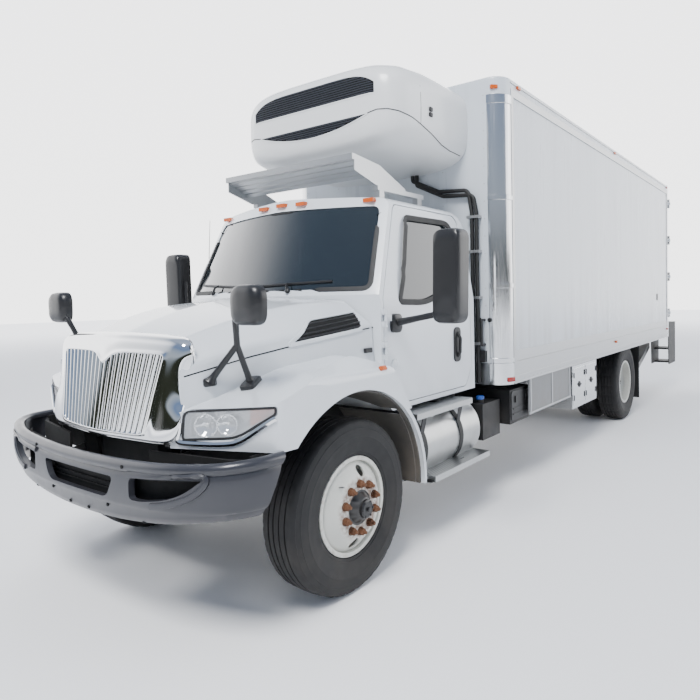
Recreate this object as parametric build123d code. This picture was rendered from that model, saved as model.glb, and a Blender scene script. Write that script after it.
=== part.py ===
from build123d import *
import math
import os

# A two-axle refrigerated truck with a bonneted cab, a nose-mounted cooling unit
# and an insulated box body. Millimetres, +X forward, +Y to the driver's side, +Z up.
# The origin is on the ground, in the middle of the overall length and width.

# Driving dimensions along the truck
WHEELBASE = 5994
FRONT_OVERHANG = 1090
CAB_BACK = 1750
CAB_TO_BOX = 190
BOX_LENGTH = 6706
REAR_STEP = 600

# Driving dimensions across and up
BOX_WIDTH = 2438
BOX_BASE = 1000
BOX_TOP = 3650
FRAME_TOP = 960
FRAME_DEPTH = 260
FRAME_WIDTH = 864
FRAME_END = -7920

# Tyres and wheels, 11R22.5 on 8.25 inch rims
TYRE_RADIUS = 525
TYRE_WIDTH = 279
BEAD_RADIUS = 286
FLANGE_RADIUS = 298
RIM_HALF = 116
FRONT_TYRE_Y = 1000
FRONT_DISC_OUT = 150
DUAL_OUTER_Y = 1040
DUAL_INNER_Y = 704
STUD_CIRCLE = 285.75
STUD_COUNT = 10

# Steering
KINGPIN_Y = 860
STEER_ARM = 170
TIE_ROD_Z = 400
FIT = 0.5

# Cab
CAB_BASE = 1000
CAB_FLOOR = 1130
CAB_HALF = 1015
CAB_BELT = 1750
CAB_TOP = 2550
CAB_WALL = 45
DOOR_GAP = 6
DOOR_HINGE = (-470, 1036)
DOOR_HINGE_ZS = (1420, 1640)
GLASS = 6
SCREEN_BASE = 1800
SCREEN_FOOT = -220
SCREEN_LEAN = (-310, 0, 640)
SCREEN_SAG = 220
SCREEN_SPAN = 1010

# Bonnet and fenders
HOOD_WALL = 22
HOOD_BASE = 1000
HOOD_PIVOT = (1000, 750)
ARCH_CENTRE = (20, 550)
ARCH_RADIUS = 680
FENDER_HALF = 1200
FENDER_BASE = 1000
LINER = 12

# Box body
BOX_WALL = 90
BOX_FLOOR_TOP = 1245
BOX_ROOF = 100
CORNER_RADIUS = 155
SILL_HEIGHT = 190
DOOR_THICK = 90
DOOR_SIDE_POST = 84

# Worked out from the driving dimensions
OVERALL = FRONT_OVERHANG + CAB_BACK + CAB_TO_BOX + BOX_LENGTH + REAR_STEP
AXLE_X = OVERALL / 2 - FRONT_OVERHANG
REAR_AXLE_X = AXLE_X - WHEELBASE
CAB_REAR_X = AXLE_X - CAB_BACK
BOX_FRONT_X = CAB_REAR_X - CAB_TO_BOX
BOX_REAR_X = BOX_FRONT_X - BOX_LENGTH
REAR_X = BOX_REAR_X - REAR_STEP
BOX_HALF = BOX_WIDTH / 2
FRAME_HALF = FRAME_WIDTH / 2
FRAME_BASE = FRAME_TOP - FRAME_DEPTH
AXLE_Z = TYRE_RADIUS


def block(x0, x1, y0, y1, z0, z1):
    """A box between two corners."""
    return Pos((x0 + x1) / 2, (y0 + y1) / 2, (z0 + z1) / 2) * Box(x1 - x0, y1 - y0, z1 - z0)


def outline(rows):
    """A closed flat face from rows of (across, up, corner radius)."""
    points = [(row[0], row[1]) for row in rows]
    return make_face(FilletPolyline(*points, radius=[row[2] for row in rows], close=True))


def mirrored(rows):
    """Rows of (across, up, radius) completed with their mirror image, for a symmetric outline."""
    return rows + [(-across, up, radius) for across, up, radius in reversed(rows) if across != 0]


def side_prism(rows, y0, y1):
    """Rows of (x ahead of the front axle, z, radius), extruded from y0 to y1."""
    face = Plane.XZ.offset(-y1) * Pos(AXLE_X, 0) * outline(rows)
    return extrude(face, amount=y1 - y0)


def front_prism(rows, x0, x1):
    """Rows of (y, z, radius), extruded from x0 to x1 ahead of the front axle."""
    face = Plane.YZ.offset(AXLE_X + x0) * outline(rows)
    return extrude(face, amount=x1 - x0)


def plan_prism(rows, z0, z1):
    """Rows of (x ahead of the front axle, y, radius), extruded from z0 to z1."""
    face = Plane.XY.offset(z0) * Pos(AXLE_X, 0) * outline(rows)
    return extrude(face, amount=z1 - z0)


def rod(start, end, radius):
    """A round bar between two points."""
    start = Vector(*start)
    run = Vector(*end) - start
    return Solid.make_cylinder(radius, run.length, Plane(origin=start, z_dir=run))


def cross_rod(x, z, y0, y1, radius):
    """A round bar along Y, at x ahead of the front axle."""
    return rod((AXLE_X + x, y0, z), (AXLE_X + x, y1, z), radius)


def post(x, y, z0, z1, radius):
    """An upright round bar, at x ahead of the front axle."""
    return rod((AXLE_X + x, y, z0), (AXLE_X + x, y, z1), radius)


def long_rod(x0, x1, y, z, radius):
    """A round bar along X, between two places ahead of the front axle."""
    return rod((AXLE_X + x0, y, z), (AXLE_X + x1, y, z), radius)


def ahead(x0, x1, y0, y1, z0, z1):
    """A box whose X runs are given ahead of the front axle."""
    return block(AXLE_X + x0, AXLE_X + x1, y0, y1, z0, z1)


def flip(shape):
    """The same piece on the truck's other side."""
    return mirror(shape, about=Plane.XZ)


def both(shape):
    """A piece and its twin on the other side."""
    return Compound(children=[*shape.solids(), *flip(shape).solids()])


def group(*shapes):
    """Separate solids that share one node."""
    return Compound(children=[solid for shape in shapes for solid in shape.solids()])


# Chassis


def frame_rails():
    """Two channel rails with the front pivot brackets, spring hangers, cab mounts and lift plates."""
    front = AXLE_X + 700
    rear = AXLE_X + FRAME_END
    web, flange = FRAME_WEB, 80
    outer = block(rear, front, FRAME_HALF - flange, FRAME_HALF, FRAME_BASE, FRAME_TOP)
    inner = block(rear - 1, front + 1, FRAME_HALF - flange - 1, FRAME_HALF - web, FRAME_BASE + web, FRAME_TOP - web)
    rail = outer - inner
    bracket = side_prism(
        [(560, FRAME_BASE + 20, 0), (1030, 660, 10), (1030, 840, 10), (560, FRAME_TOP - 20, 0)],
        FRAME_HALF,
        FRAME_HALF + 12,
    )
    bracket -= cross_rod(HOOD_PIVOT[0], HOOD_PIVOT[1], FRAME_HALF - 1, FRAME_HALF + 13, 14)
    side = rail + bracket
    for x in (-520, -1600):
        side += ahead(x - 50, x + 50, FRAME_HALF - 70, FRAME_HALF, FRAME_TOP, CAB_BASE)
    for x in (610, -700):
        side += ahead(x - 45, x + 45, FRAME_HALF - 76, FRAME_HALF, FRAME_BASE - 60, FRAME_BASE)
    for x in (-WHEELBASE + 720, -WHEELBASE - 720):
        side += ahead(x - 50, x + 50, FRAME_HALF - 76, FRAME_HALF, FRAME_BASE - 60, FRAME_BASE)
    return both(side + liftgate_hanger())


FRAME_WEB = 9


def crossmembers():
    """The bars between the two rails, and the body's long sills that lie on top of them."""
    half = FRAME_HALF - FRAME_WEB
    bars = []
    for x in (-1250, -2600, -3900, -5150, -6700, -7500):
        bars.append(ahead(x - 30, x + 30, -half, half, FRAME_TOP - 120, FRAME_TOP - 40))
    bars.append(ahead(610, 670, -half, half, FRAME_BASE + FRAME_WEB, FRAME_BASE + 80))
    sill = block(BOX_REAR_X + REAR_FRAME, BOX_FRONT_X - BOX_WALL, FRAME_HALF - 80, FRAME_HALF, FRAME_TOP, BOX_BASE)
    return group(*bars, both(sill))


def leaf_spring(x, span, seat_z):
    """A leaf pack arched between its hangers, seated on the axle at seat_z."""
    rows = [
        (x - span, FRAME_BASE - 62, 0),
        (x - span, FRAME_BASE - 78, 0),
        (x - 110, seat_z, 300),
        (x + 110, seat_z, 300),
        (x + span, FRAME_BASE - 78, 0),
        (x + span, FRAME_BASE - 62, 0),
        (x + 110, seat_z + 44, 300),
        (x - 110, seat_z + 44, 300),
    ]
    return side_prism(rows, FRAME_HALF - 76, FRAME_HALF)


def front_axle():
    """The drop beam with its kingpin bosses and the two leaf packs on it."""
    beam = front_prism(
        [
            (-820, 480, 10),
            (-640, 400, 60),
            (640, 400, 60),
            (820, 480, 10),
            (820, 570, 10),
            (720, 570, 40),
            (570, 480, 60),
            (-570, 480, 60),
            (-720, 570, 40),
            (-820, 570, 10),
        ],
        -45,
        45,
    )
    for side in (1, -1):
        beam += post(0, side * KINGPIN_Y, 470, 580, 52)
        beam += ahead(-40, 40, min(side * 790, side * 850), max(side * 790, side * 850), 480, 570)
        beam -= post(0, side * KINGPIN_Y, 400, 650, 22 + FIT)
    spring = leaf_spring(-45, 655, 480)
    return beam + spring + flip(spring)


def rear_axle():
    """The banjo housing, its tubes and brake ends, and the rear leaf packs."""
    x = -WHEELBASE
    housing = cross_rod(x, AXLE_Z, -760, 760, 62)
    bowl = Pos(AXLE_X + x, 0, AXLE_Z) * Rot(0, 90, 0) * Cylinder(190, 150)
    nose = long_rod(x + 60, x + 330, 0, AXLE_Z + 20, 75)
    axle = housing + bowl + nose
    for side in (1, -1):
        axle += ahead(x - 60, x + 60, side * 394 - 38, side * 394 + 38, AXLE_Z, AXLE_Z + 75)
        axle += cross_rod(x, AXLE_Z, side * 640 - 8, side * 640 + 8, 200)
        axle += cross_rod(x, AXLE_Z, min(side * 700, side * 850), max(side * 700, side * 850), 42)
    spring = leaf_spring(x, 765, AXLE_Z + 75)
    return axle + spring + flip(spring) + driveshaft()


def knuckle():
    """The left steering knuckle: yoke, kingpin, spindle, brake plate and rearward arm."""
    y = KINGPIN_Y
    body = post(0, y, 410, 469, 48) + post(0, y, 581, 640, 48)
    body += post(0, y, 405, 645, 22)
    body += ahead(-48, 48, y + 20, y + 70, 410, 469) + ahead(-48, 48, y + 20, y + 70, 581, 640)
    body += ahead(-55, 55, y + 56, y + 72, 405, 645)
    body += cross_rod(0, AXLE_Z, y + 70, y + 82, 190)
    body += cross_rod(0, AXLE_Z, y + 70, y + 250, 40)
    arm = plan_prism(
        [(-20, y - 30, 10), (-20, y + 30, 10), (-STEER_ARM - 28, y + 22, 20), (-STEER_ARM - 28, y - 22, 20)],
        415,
        440,
    )
    arm -= post(-STEER_ARM, y, 400, 450, 12 + FIT)
    return body + arm


def tie_rod():
    """The tube between the two steering arms, with its upright ball pins."""
    bar = cross_rod(-STEER_ARM, TIE_ROD_Z - 15, -KINGPIN_Y, KINGPIN_Y, 18)
    for side in (1, -1):
        bar += post(-STEER_ARM, side * KINGPIN_Y, TIE_ROD_Z - 40, 409, 26)
        bar += post(-STEER_ARM, side * KINGPIN_Y, TIE_ROD_Z, 438, 12)
    return bar


def engine():
    """The engine and gearbox as plain blocks at their real size, and the radiator ahead of them."""
    block_part = side_prism(
        [(-180, 720, 20), (540, 720, 20), (540, 1330, 60), (-180, 1330, 60)],
        -270,
        270,
    )
    gearbox = long_rod(-1150, -180, 0, 800, 165)
    return group(block_part + gearbox, radiator())


def driveshaft():
    """The two-piece propeller shaft from the gearbox to the rear axle's nose."""
    z0, z1 = 790, AXLE_Z + 20
    x0, x1 = -1156, -WHEELBASE + 320
    middle = (x0 + x1) / 2
    shaft = rod((AXLE_X + x0, 0, z0), (AXLE_X + middle, 0, z0 - 60), 50)
    shaft += rod((AXLE_X + middle, 0, z0 - 60), (AXLE_X + x1, 0, z1), 50)
    shaft += long_rod(middle - 60, middle + 60, 0, z0 - 60, 80)
    return shaft


def radiator():
    """The cooling pack that shows through the grille."""
    return ahead(590, 690, -330, 330, FRAME_TOP - 120, 1400) + ahead(600, 680, -350, 350, 985, 1380)


BUMPER_TOP = 955
BUMPER_BASE = 600


def bumper_plan(inset):
    """The bumper's plan outline, moved in by an inset."""
    front = FRONT_OVERHANG - inset
    return [
        (640, 1215 - inset, 0),
        (720, 1215 - inset, 60),
        (960, 1070 - inset, 250),
        (front - 30, 700 - inset, 500),
        (front, 120, 0),
        (front, -120, 0),
        (front - 30, inset - 700, 500),
        (960, inset - 1070, 250),
        (720, inset - 1215, 60),
        (640, inset - 1215, 0),
    ]


def outer_edges(shape, z):
    """The edges of a shape's flat face at one height, all but the straight one at its back."""
    face = [f for f in shape.faces() if abs(f.center().Z - z) < 1 and abs(f.normal_at().Z) > 0.99][0]
    back = face.bounding_box().min.X
    return [edge for edge in face.edges() if edge.bounding_box().max.X > back + 1]


def bumper():
    """The deep moulded bumper with its rounded rim, middle grille slot and two lamp openings."""
    thick, rim, rim_depth, curl = 30, 62, 42, 18
    shell = plan_prism(bumper_plan(0), BUMPER_BASE, BUMPER_TOP)
    shell = fillet(outer_edges(shell, BUMPER_TOP) + outer_edges(shell, BUMPER_BASE), curl)
    shell -= plan_prism(bumper_plan(thick), BUMPER_BASE - 1, BUMPER_TOP - rim_depth)
    shell -= plan_prism(bumper_plan(rim), BUMPER_TOP - rim_depth - 1, BUMPER_TOP + 1)
    shell -= front_prism(
        mirrored([(300, 740, 30), (365, 852, 30)])[::-1],
        960,
        1200,
    )
    for side in (1, -1):
        hole = [(450, 745, 30), (990, 790, 60), (1050, 925, 20), (450, 880, 20)]
        rows = [(side * y, z, r) for y, z, r in hole]
        shell -= front_prism(rows if side == 1 else rows[::-1], 800, 1200)
    carrier = ahead(1030, 1046, -FRAME_HALF - 12, FRAME_HALF + 12, 650, 735)
    return shell + carrier


# Wheels


def revolve_y(rows, y_mid):
    """Rows of (y outwards from y_mid, radius from the axle, corner radius), turned about the wheel's axis."""
    flat = [(y + y_mid, r, c) for y, r, c in rows]
    face = Plane.YZ * outline(flat)
    return revolve(face, Axis.Y, 360)


def tyre_section():
    """The tyre's section: rows of (y from its middle, radius, corner radius)."""
    half = TYRE_WIDTH / 2
    tread = 108
    right = [
        (104, BEAD_RADIUS, 0),
        (104, FLANGE_RADIUS + 6, 0),
        (half, 400, 60),
        (tread + 8, TYRE_RADIUS - 14, 22),
        (tread - 24, TYRE_RADIUS, 0),
    ]
    return mirrored(right)


def rim_section():
    """The pressed steel rim's section, its flanges standing beside the tyre's beads."""
    right = [
        (RIM_HALF, BEAD_RADIUS - 14, 4),
        (RIM_HALF, FLANGE_RADIUS, 3),
        (104, FLANGE_RADIUS, 3),
        (104, BEAD_RADIUS - 2, 0),
    ]
    return mirrored(right)


def place_wheel(shape, x):
    """A wheel piece carried to its axle, at x ahead of the front one."""
    return Pos(AXLE_X + x, 0, AXLE_Z) * shape


def wheel_solid(y_mid, disc_y):
    """A rim with its dished disc and ten nuts, centred on the axle line."""
    rim = revolve_y(rim_section(), y_mid)
    lip = 70 if disc_y > 0 else 20
    disc = revolve_y(
        [
            (lip, BEAD_RADIUS - 8, 2),
            (lip + 12, BEAD_RADIUS - 8, 2),
            (disc_y + 12, 190, 40),
            (disc_y + 12, 100, 0),
            (disc_y, 100, 0),
            (disc_y, 186, 40),
        ],
        y_mid,
    )
    for turn in (100, 280):
        angle = math.radians(turn)
        hole = rod(
            (212 * math.cos(angle), y_mid - 200, 212 * math.sin(angle)),
            (212 * math.cos(angle), y_mid + 250, 212 * math.sin(angle)),
            33,
        )
        disc -= hole
    wheel = rim + disc
    face = y_mid + disc_y + 12
    for index in range(STUD_COUNT):
        angle = 2 * math.pi * (index + 0.5) / STUD_COUNT
        centre = (STUD_CIRCLE / 2 * math.cos(angle), face, STUD_CIRCLE / 2 * math.sin(angle))
        nut = Plane(origin=centre, x_dir=(1, 0, 0), z_dir=(0, 1, 0)) * Pos(0, 0, 16) * Cone(18, 10, 32)
        wheel += nut
    return wheel


def front_wheel():
    """The left front rim, disc, hub and brake drum."""
    y = FRONT_TYRE_Y
    wheel = wheel_solid(y, FRONT_DISC_OUT)
    hub = revolve_y(
        [
            (-54, 70, 0),
            (-54, 60, 0),
            (120, 60, 0),
            (120, 0, 0),
            (205, 0, 0),
            (205, 62, 12),
            (FRONT_DISC_OUT + 12, 92, 0),
            (FRONT_DISC_OUT + 12, 120, 0),
            (FRONT_DISC_OUT - 4, 120, 0),
            (FRONT_DISC_OUT - 12, 172, 0),
            (85, 172, 0),
            (80, 216, 6),
            (-50, 216, 0),
            (-50, 200, 0),
            (68, 200, 0),
            (68, 70, 0),
        ],
        y,
    )
    return wheel + hub


def rear_wheel():
    """The left rear pair of rims, back to back, with their hub and drum."""
    middle = (DUAL_OUTER_Y + DUAL_INNER_Y) / 2
    outer = wheel_solid(DUAL_OUTER_Y, middle - DUAL_OUTER_Y)
    inner_disc = revolve_y(
        [
            (90, BEAD_RADIUS - 8, 2),
            (102, BEAD_RADIUS - 8, 2),
            (middle - DUAL_INNER_Y, 190, 40),
            (middle - DUAL_INNER_Y, 100, 0),
            (middle - DUAL_INNER_Y - 12, 100, 0),
            (middle - DUAL_INNER_Y - 12, 186, 40),
        ],
        DUAL_INNER_Y,
    )
    inner = revolve_y(rim_section(), DUAL_INNER_Y) + inner_disc
    hub = revolve_y(
        [
            (-210, 216, 0),
            (-30, 216, 6),
            (-20, 172, 0),
            (-12, 172, 0),
            (-12, 120, 0),
            (14, 120, 0),
            (14, 92, 0),
            (170, 80, 10),
            (190, 50, 10),
            (190, 0, 0),
            (0, 0, 0),
            (0, 60, 0),
            (-45, 60, 0),
            (-45, 200, 0),
            (-210, 200, 0),
        ],
        middle,
    )
    return outer + inner + hub


# Cab


def screen_front(x_shift):
    """The plan face of the cab front: straight behind, one wide arc ahead."""
    radius = (SCREEN_SPAN**2 + SCREEN_SAG**2) / (2 * SCREEN_SAG)
    half = 1100
    edge = SCREEN_FOOT + x_shift - radius + math.sqrt(radius**2 - half**2)
    front = ThreePointArc((edge, -half), (SCREEN_FOOT + x_shift, 0), (edge, half))
    back = Polyline((edge, half), (-CAB_BACK - 50, half), (-CAB_BACK - 50, -half), (edge, -half))
    return Pos(AXLE_X, 0) * make_face(Curve() + [front, back])


def cab_front(x_shift, z0, z1):
    """Everything behind the cab's curved front: upright to the cowl, then leaning with the windscreen."""
    lower = extrude(Plane.XY.offset(z0) * screen_front(x_shift), amount=SCREEN_BASE - z0)
    lean = Vector(*SCREEN_LEAN)
    upper = extrude(
        Plane.XY.offset(SCREEN_BASE) * screen_front(x_shift),
        amount=(z1 - SCREEN_BASE) * lean.length / lean.Z,
        dir=lean.normalized(),
    )
    return lower + upper


def cab_form(inset, base):
    """The cab's outer form, or its hollow when an inset is given."""
    side = side_prism(
        [
            (-CAB_BACK + inset, base, 0),
            (-560 - inset, base, 0),
            (-400 - inset, base + 130, 0),
            (200, base + 130, 0),
            (200, CAB_TOP - inset, 0),
            (-CAB_BACK + inset + 190, CAB_TOP - inset, 250),
            (-CAB_BACK + inset, CAB_TOP - 170 - inset, 120),
        ],
        -1100,
        1100,
    )
    front = front_prism(
        mirrored(
            [
                (CAB_HALF - inset, base, 0),
                (CAB_HALF - inset, CAB_BELT, 400),
                (900 - inset, CAB_TOP - 60 - inset, 90),
                (0, CAB_TOP - inset, 1500),
            ]
        ),
        -CAB_BACK - 100,
        200,
    )
    return side & front & cab_front(-inset, base, CAB_TOP + 60)


def door_outline(grow):
    """The left door in side view: rows of (x, z, radius), grown by a gap all round."""
    return [
        (-478 + grow, 1330 - grow, 40),
        (-478 + grow, 1775, 20),
        (-760 + grow, 2442 + grow, 60),
        (-1640 - grow * 3.4, 2442 + grow, 90),
        (-1697 - grow, 1200, 60),
        (-1600 - grow / 2, 1040 - grow, 60),
        (-660 + grow / 2, 1040 - grow, 60),
    ]


def window_outline(grow):
    """The door's window opening in side view."""
    return [
        (-668 + grow, 1745 - grow, 40),
        (-872 + grow, 2362 + grow, 60),
        (-1500 - grow, 2372 + grow, 90),
        (-1560 - grow, 1860 - grow, 120),
        (-1240, 1800 - grow, 200),
        (-1000, 1735 - grow, 200),
    ]


def cab_shell():
    """The cab's floor, walls, pillars and roof, with its door, screen and rear openings."""
    shell = cab_form(0, CAB_BASE) - cab_form(CAB_WALL, CAB_FLOOR)
    opening = side_prism(door_outline(DOOR_GAP), 500, 1150) - ahead(-1800, -400, 499, 838, 2385, 2500)
    shell -= opening + flip(opening)
    shell -= screen_opening(0)
    shell -= front_prism(
        mirrored([(620, 1900, 60), (600, 2300, 60)]),
        -CAB_BACK - 60,
        -CAB_BACK + 100,
    )
    knuckles = shell_knuckles()
    return shell + knuckles + flip(knuckles)


def shell_knuckles():
    """The left door's outer hinge knuckles with their pins, on the pillar."""
    x, y = DOOR_HINGE
    knuckles = None
    for z in DOOR_HINGE_ZS:
        piece = post(x, y, z - 60, z + 60, 6)
        for low, high in ((z - 60, z - 24), (z + 24, z + 60)):
            piece += post(x, y, low, high, 12) + ahead(x, x + 24, CAB_HALF - 15, y + 6, low, high)
        knuckles = piece if knuckles is None else knuckles + piece
    return knuckles


def door_knuckles():
    """The left door's own knuckles, between those of the pillar."""
    x, y = DOOR_HINGE
    knuckles = None
    for z in DOOR_HINGE_ZS:
        piece = post(x, y, z - 22, z + 22, 12) + ahead(x - 60, x, y - 14, y + 6, z - 22, z + 22)
        piece += ahead(x - 60, x - 14, CAB_HALF - 12, y, z - 22, z + 22)
        piece -= post(x, y, z - 23, z + 23, 6 + FIT)
        knuckles = piece if knuckles is None else knuckles + piece
    return knuckles


def screen_opening(shrink):
    """The windscreen's opening, seen from the front."""
    rows = mirrored(
        [
            (940 - shrink, SCREEN_BASE + 40 + shrink, 60),
            (850 - shrink, 2430 - shrink, 60),
            (0, 2455 - shrink, 1000),
        ]
    )
    return front_prism(rows, -1100, 200)


def cab_glass():
    """The curved windscreen and the rear wall's window."""
    outer = cab_front(-10, CAB_BASE, CAB_TOP + 60)
    inner = cab_front(-10 - GLASS, CAB_BASE, CAB_TOP + 60)
    pane = (outer - inner) & screen_opening(2)
    rear = front_prism(mirrored([(617, 1903, 57), (597, 2297, 57)]), -CAB_BACK + 15, -CAB_BACK + 15 + GLASS)
    return group(pane, rear)


def door_slab():
    """The left door's solid, as thick as the cab's wall."""
    wall = cab_form(0, CAB_BASE) - cab_form(CAB_WALL, CAB_BASE - 10)
    return wall & side_prism(door_outline(0), 500, 1150)


def cab_door():
    """The left door with its window opening, its thinner rear edge and its hinge knuckles."""
    door = door_slab()
    door -= side_prism(window_outline(0), 500, 1150)
    edge = [(-1655, 1060, 0), (-1595, 2480, 0), (-1730, 2480, 0), (-1730, 1060, 0)]
    door -= side_prism(edge, 500, 1150) & cab_form(20, CAB_BASE)
    door -= ahead(-1800, -400, 499, 850, 2375, 2500)
    return door + door_knuckles()


def door_glass():
    """The left door's pane."""
    outer = cab_form(14, CAB_BASE)
    inner = cab_form(14 + GLASS, CAB_BASE)
    return (outer - inner) & side_prism(window_outline(-2), 500, 1150)


MIRROR_Y = 1452
MIRROR_X = -640


def cab_mirror():
    """The left tall mirror head on its two arms from the door."""
    head = plan_prism(
        [
            (MIRROR_X + 95, MIRROR_Y - 110, 30),
            (MIRROR_X + 60, MIRROR_Y + 110, 50),
            (MIRROR_X - 40, MIRROR_Y + 110, 15),
            (MIRROR_X - 40, MIRROR_Y - 110, 15),
        ],
        1530,
        2215,
    )
    lower = rod((AXLE_X - 600, 1040, 1600), (AXLE_X + MIRROR_X, MIRROR_Y - 100, 1650), 20)
    foot = ahead(-650, -550, CAB_HALF + 1, CAB_HALF + 36, 1540, 1650)
    return head + lower + foot


def dashboard():
    """The instrument panel, its column and the steering wheel."""
    panel = side_prism([(-200, 1480, 0), (-780, 1520, 60), (-740, 1740, 60), (-520, 1785, 40), (-200, 1785, 0)], -900, 900)
    panel &= cab_form(CAB_WALL + 3, CAB_FLOOR)
    column = rod((AXLE_X - 700, 470, 1660), (AXLE_X - 930, 470, 1760), 35)
    plane = Plane(origin=(AXLE_X - 930, 470, 1760), z_dir=Vector(-230, 0, 100))
    ring = plane * Torus(225, 16)
    spokes = plane * (Box(440, 40, 14) + Box(40, 440, 14))
    return panel + column + ring + spokes


def seats():
    """The driver's and passenger's seats."""
    seat = side_prism([(-1560, CAB_FLOOR, 20), (-1100, CAB_FLOOR, 20), (-1060, 1490, 50), (-1500, 1480, 60)], 250, 720)
    back = side_prism([(-1500, 1480, 40), (-1370, 1480, 40), (-1500, 2240, 60), (-1640, 2240, 60)], 250, 720)
    return both(seat + back)


# Bonnet


def hood_form(inset):
    """The nacelle between the fenders: a loft through three sections across the truck."""
    faces = []
    # ahead of the axle, bottom half width, shoulder half width, shoulder z, crown z
    for x, bottom, shoulder, shoulder_z, crown in (
        (-520, 1005, 985, 1600, 1800),
        (250, 850, 815, 1560, 1752),
        (840, 655, 640, 1430, 1560),
    ):
        rows = mirrored(
            [
                (bottom - inset, HOOD_BASE - inset, 0),
                (shoulder - inset, shoulder_z, 60),
                (shoulder - 170 - inset, crown - 45 - inset, 80),
                (0, crown - inset, 300),
            ]
        )
        faces.append(Plane.YZ.offset(AXLE_X + x) * outline(rows))
    return loft(faces)


def fender_form(inset):
    """The left fender's outer form, or its hollow when an inset is given."""
    side = side_prism(
        [
            (-330 - 20 + inset, 1290 - inset * 3, 0),
            (-330 + inset, 1330 - inset, 20),
            (-110, 1425 - inset, 220),
            (300, 1375 - inset, 500),
            (660, 1250 - inset, 100),
            (900, 1180 - inset, 0),
            (900, FENDER_BASE - inset * 3, 0),
            (300, FENDER_BASE - inset * 3, 0),
            (300, 400, 0),
            (-520, 400, 0),
            (-520, 1045 - inset * 3, 0),
        ],
        550,
        1300,
    )
    plan = plan_prism(
        [
            (-700, 500, 0),
            (-700, FENDER_HALF - inset, 0),
            (300, FENDER_HALF - inset, 600),
            (650 - inset, 1185 - inset, 60),
            (880 - inset, 600, 0),
            (880 - inset, 500, 0),
        ],
        300,
        1600,
    )
    front = front_prism(
        [
            (500, 300, 0),
            (FENDER_HALF - inset, 300, 0),
            (FENDER_HALF - inset, 1330 - inset, 60),
            (1020, 1425 - inset, 80),
            (500, 1560 - inset, 0),
        ],
        -700,
        1000,
    )
    return side & plan & front


def arch_cylinder(radius, y0, y1):
    return cross_rod(ARCH_CENTRE[0], ARCH_CENTRE[1], y0, y1, radius)


def tail():
    """The thin lip of the left arch that runs down behind the wheel."""
    ring = arch_cylinder(ARCH_RADIUS + 28, FENDER_HALF - 30, FENDER_HALF) - arch_cylinder(ARCH_RADIUS, 500, 1300)
    return ring & ahead(-700, -200, 1000, 1300, 500, 1240)


def fender():
    """The left fender shell with its wheel arch."""
    shell = fender_form(0) - fender_form(HOOD_WALL)
    shell -= arch_cylinder(ARCH_RADIUS, 500, 1300)
    shell -= ahead(-720, 300, 400, 1400, 300, 1042)
    return shell + tail()


def hood():
    """The bonnet with both fenders, hollow from the grille to the cab, and its two pivot arms."""
    nacelle = hood_form(0)
    body = nacelle
    fenders = fender() - hood_form(HOOD_WALL / 2)
    hollow = hood_form(HOOD_WALL)
    body -= hollow
    body += fenders + flip(fenders)
    body -= hollow
    for side in (1, -1):
        y0, y1 = sorted((side * 560, side * 1300))
        body -= arch_cylinder(ARCH_RADIUS, y0, y1)
    body -= cab_front(14, 300, 2400)
    ahead_of_grille = leaned(
        [
            (968 - 43, 0, 0),
            (968 - 43 - 45 * 7 / 5, 700, 0),
            (1300, 700, 0),
            (1300, -700, 0),
            (968 - 43 - 45 * 7 / 5, -700, 0),
        ],
        HOOD_BASE,
        1600,
    )
    body -= ahead_of_grille & front_prism(surround_outline(3), 600, 1400)
    lamp_holes = (fender_form(-5) - fender_form(HOOD_WALL + 34)) & front_prism(lamp_outline(2), 500, 1000)
    body -= lamp_holes + flip(lamp_holes)
    body += ahead(700, 838, -700, 700, HOOD_BASE, HOOD_BASE + HOOD_WALL) & hood_form(0)
    for side in (1, -1):
        px, pz = HOOD_PIVOT
        y = side * (FRAME_HALF - 30)
        arm = side_prism(
            [
                (px + 25, pz - 25, 20),
                (px + 25, pz + 25, 20),
                (px - 205, pz + 50, 20),
                (px - 165, HOOD_BASE + 5, 0),
                (px - 235, HOOD_BASE + 5, 0),
                (px - 275, pz - 15, 20),
            ],
            y - 8,
            y + 8,
        )
        pin = cross_rod(px, pz, min(y, side * (FRAME_HALF + 20)), max(y, side * (FRAME_HALF + 20)), 14 - FIT)
        body += arm + pin
    return body


def liner_ring(y0, y1):
    """The left arch's liner sheet between two distances across."""
    ring = arch_cylinder(ARCH_RADIUS - 1, y0, y1) - arch_cylinder(ARCH_RADIUS - 1 - LINER, y0 - 1, y1 + 1)
    return ring & ahead(-700, 700, 500, 1300, 500, 1400)


def hood_liners():
    """The dark splash liners that tilt with the fenders."""
    front = liner_ring(600, FENDER_HALF - 62) - cab_front(14, 300, 2400) - ahead(300, 700, 500, 1300, 400, 1040)
    front -= ahead(-800, -426, 500, 1300, 400, 1100)
    edge = liner_ring(FENDER_HALF - 62, FENDER_HALF - 31) - ahead(300, 700, 500, 1300, 400, 1040)
    return both(front + edge)


def cab_liners():
    """The splash liners under the cab, behind the front wheels."""
    return both(liner_ring(600, FENDER_HALF - 70) & ahead(-700, -400, 500, 1300, 500, CAB_BASE))


GRILLE_LEAN = (-68, 0, 430)


def grille_plan(shift, half, sag):
    """A shallow V in plan, from the centre line to half on each side, 40 deep."""
    x = 968 + shift
    return [
        (x, 0, 0),
        (x - sag * half / 500, half, 0),
        (x - sag * half / 500 - 40, half, 0),
        (x - 40, 0, 0),
        (x - sag * half / 500 - 40, -half, 0),
        (x - sag * half / 500, -half, 0),
    ]


def leaned(rows, z0, z1):
    """A plan outline drawn at z0 and carried up to z1 along the grille's lean."""
    lean = Vector(*GRILLE_LEAN)
    face = Plane.XY.offset(z0) * Pos(AXLE_X, 0) * outline(rows)
    return extrude(face, amount=(z1 - z0) * lean.length / lean.Z, dir=lean.normalized())


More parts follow.
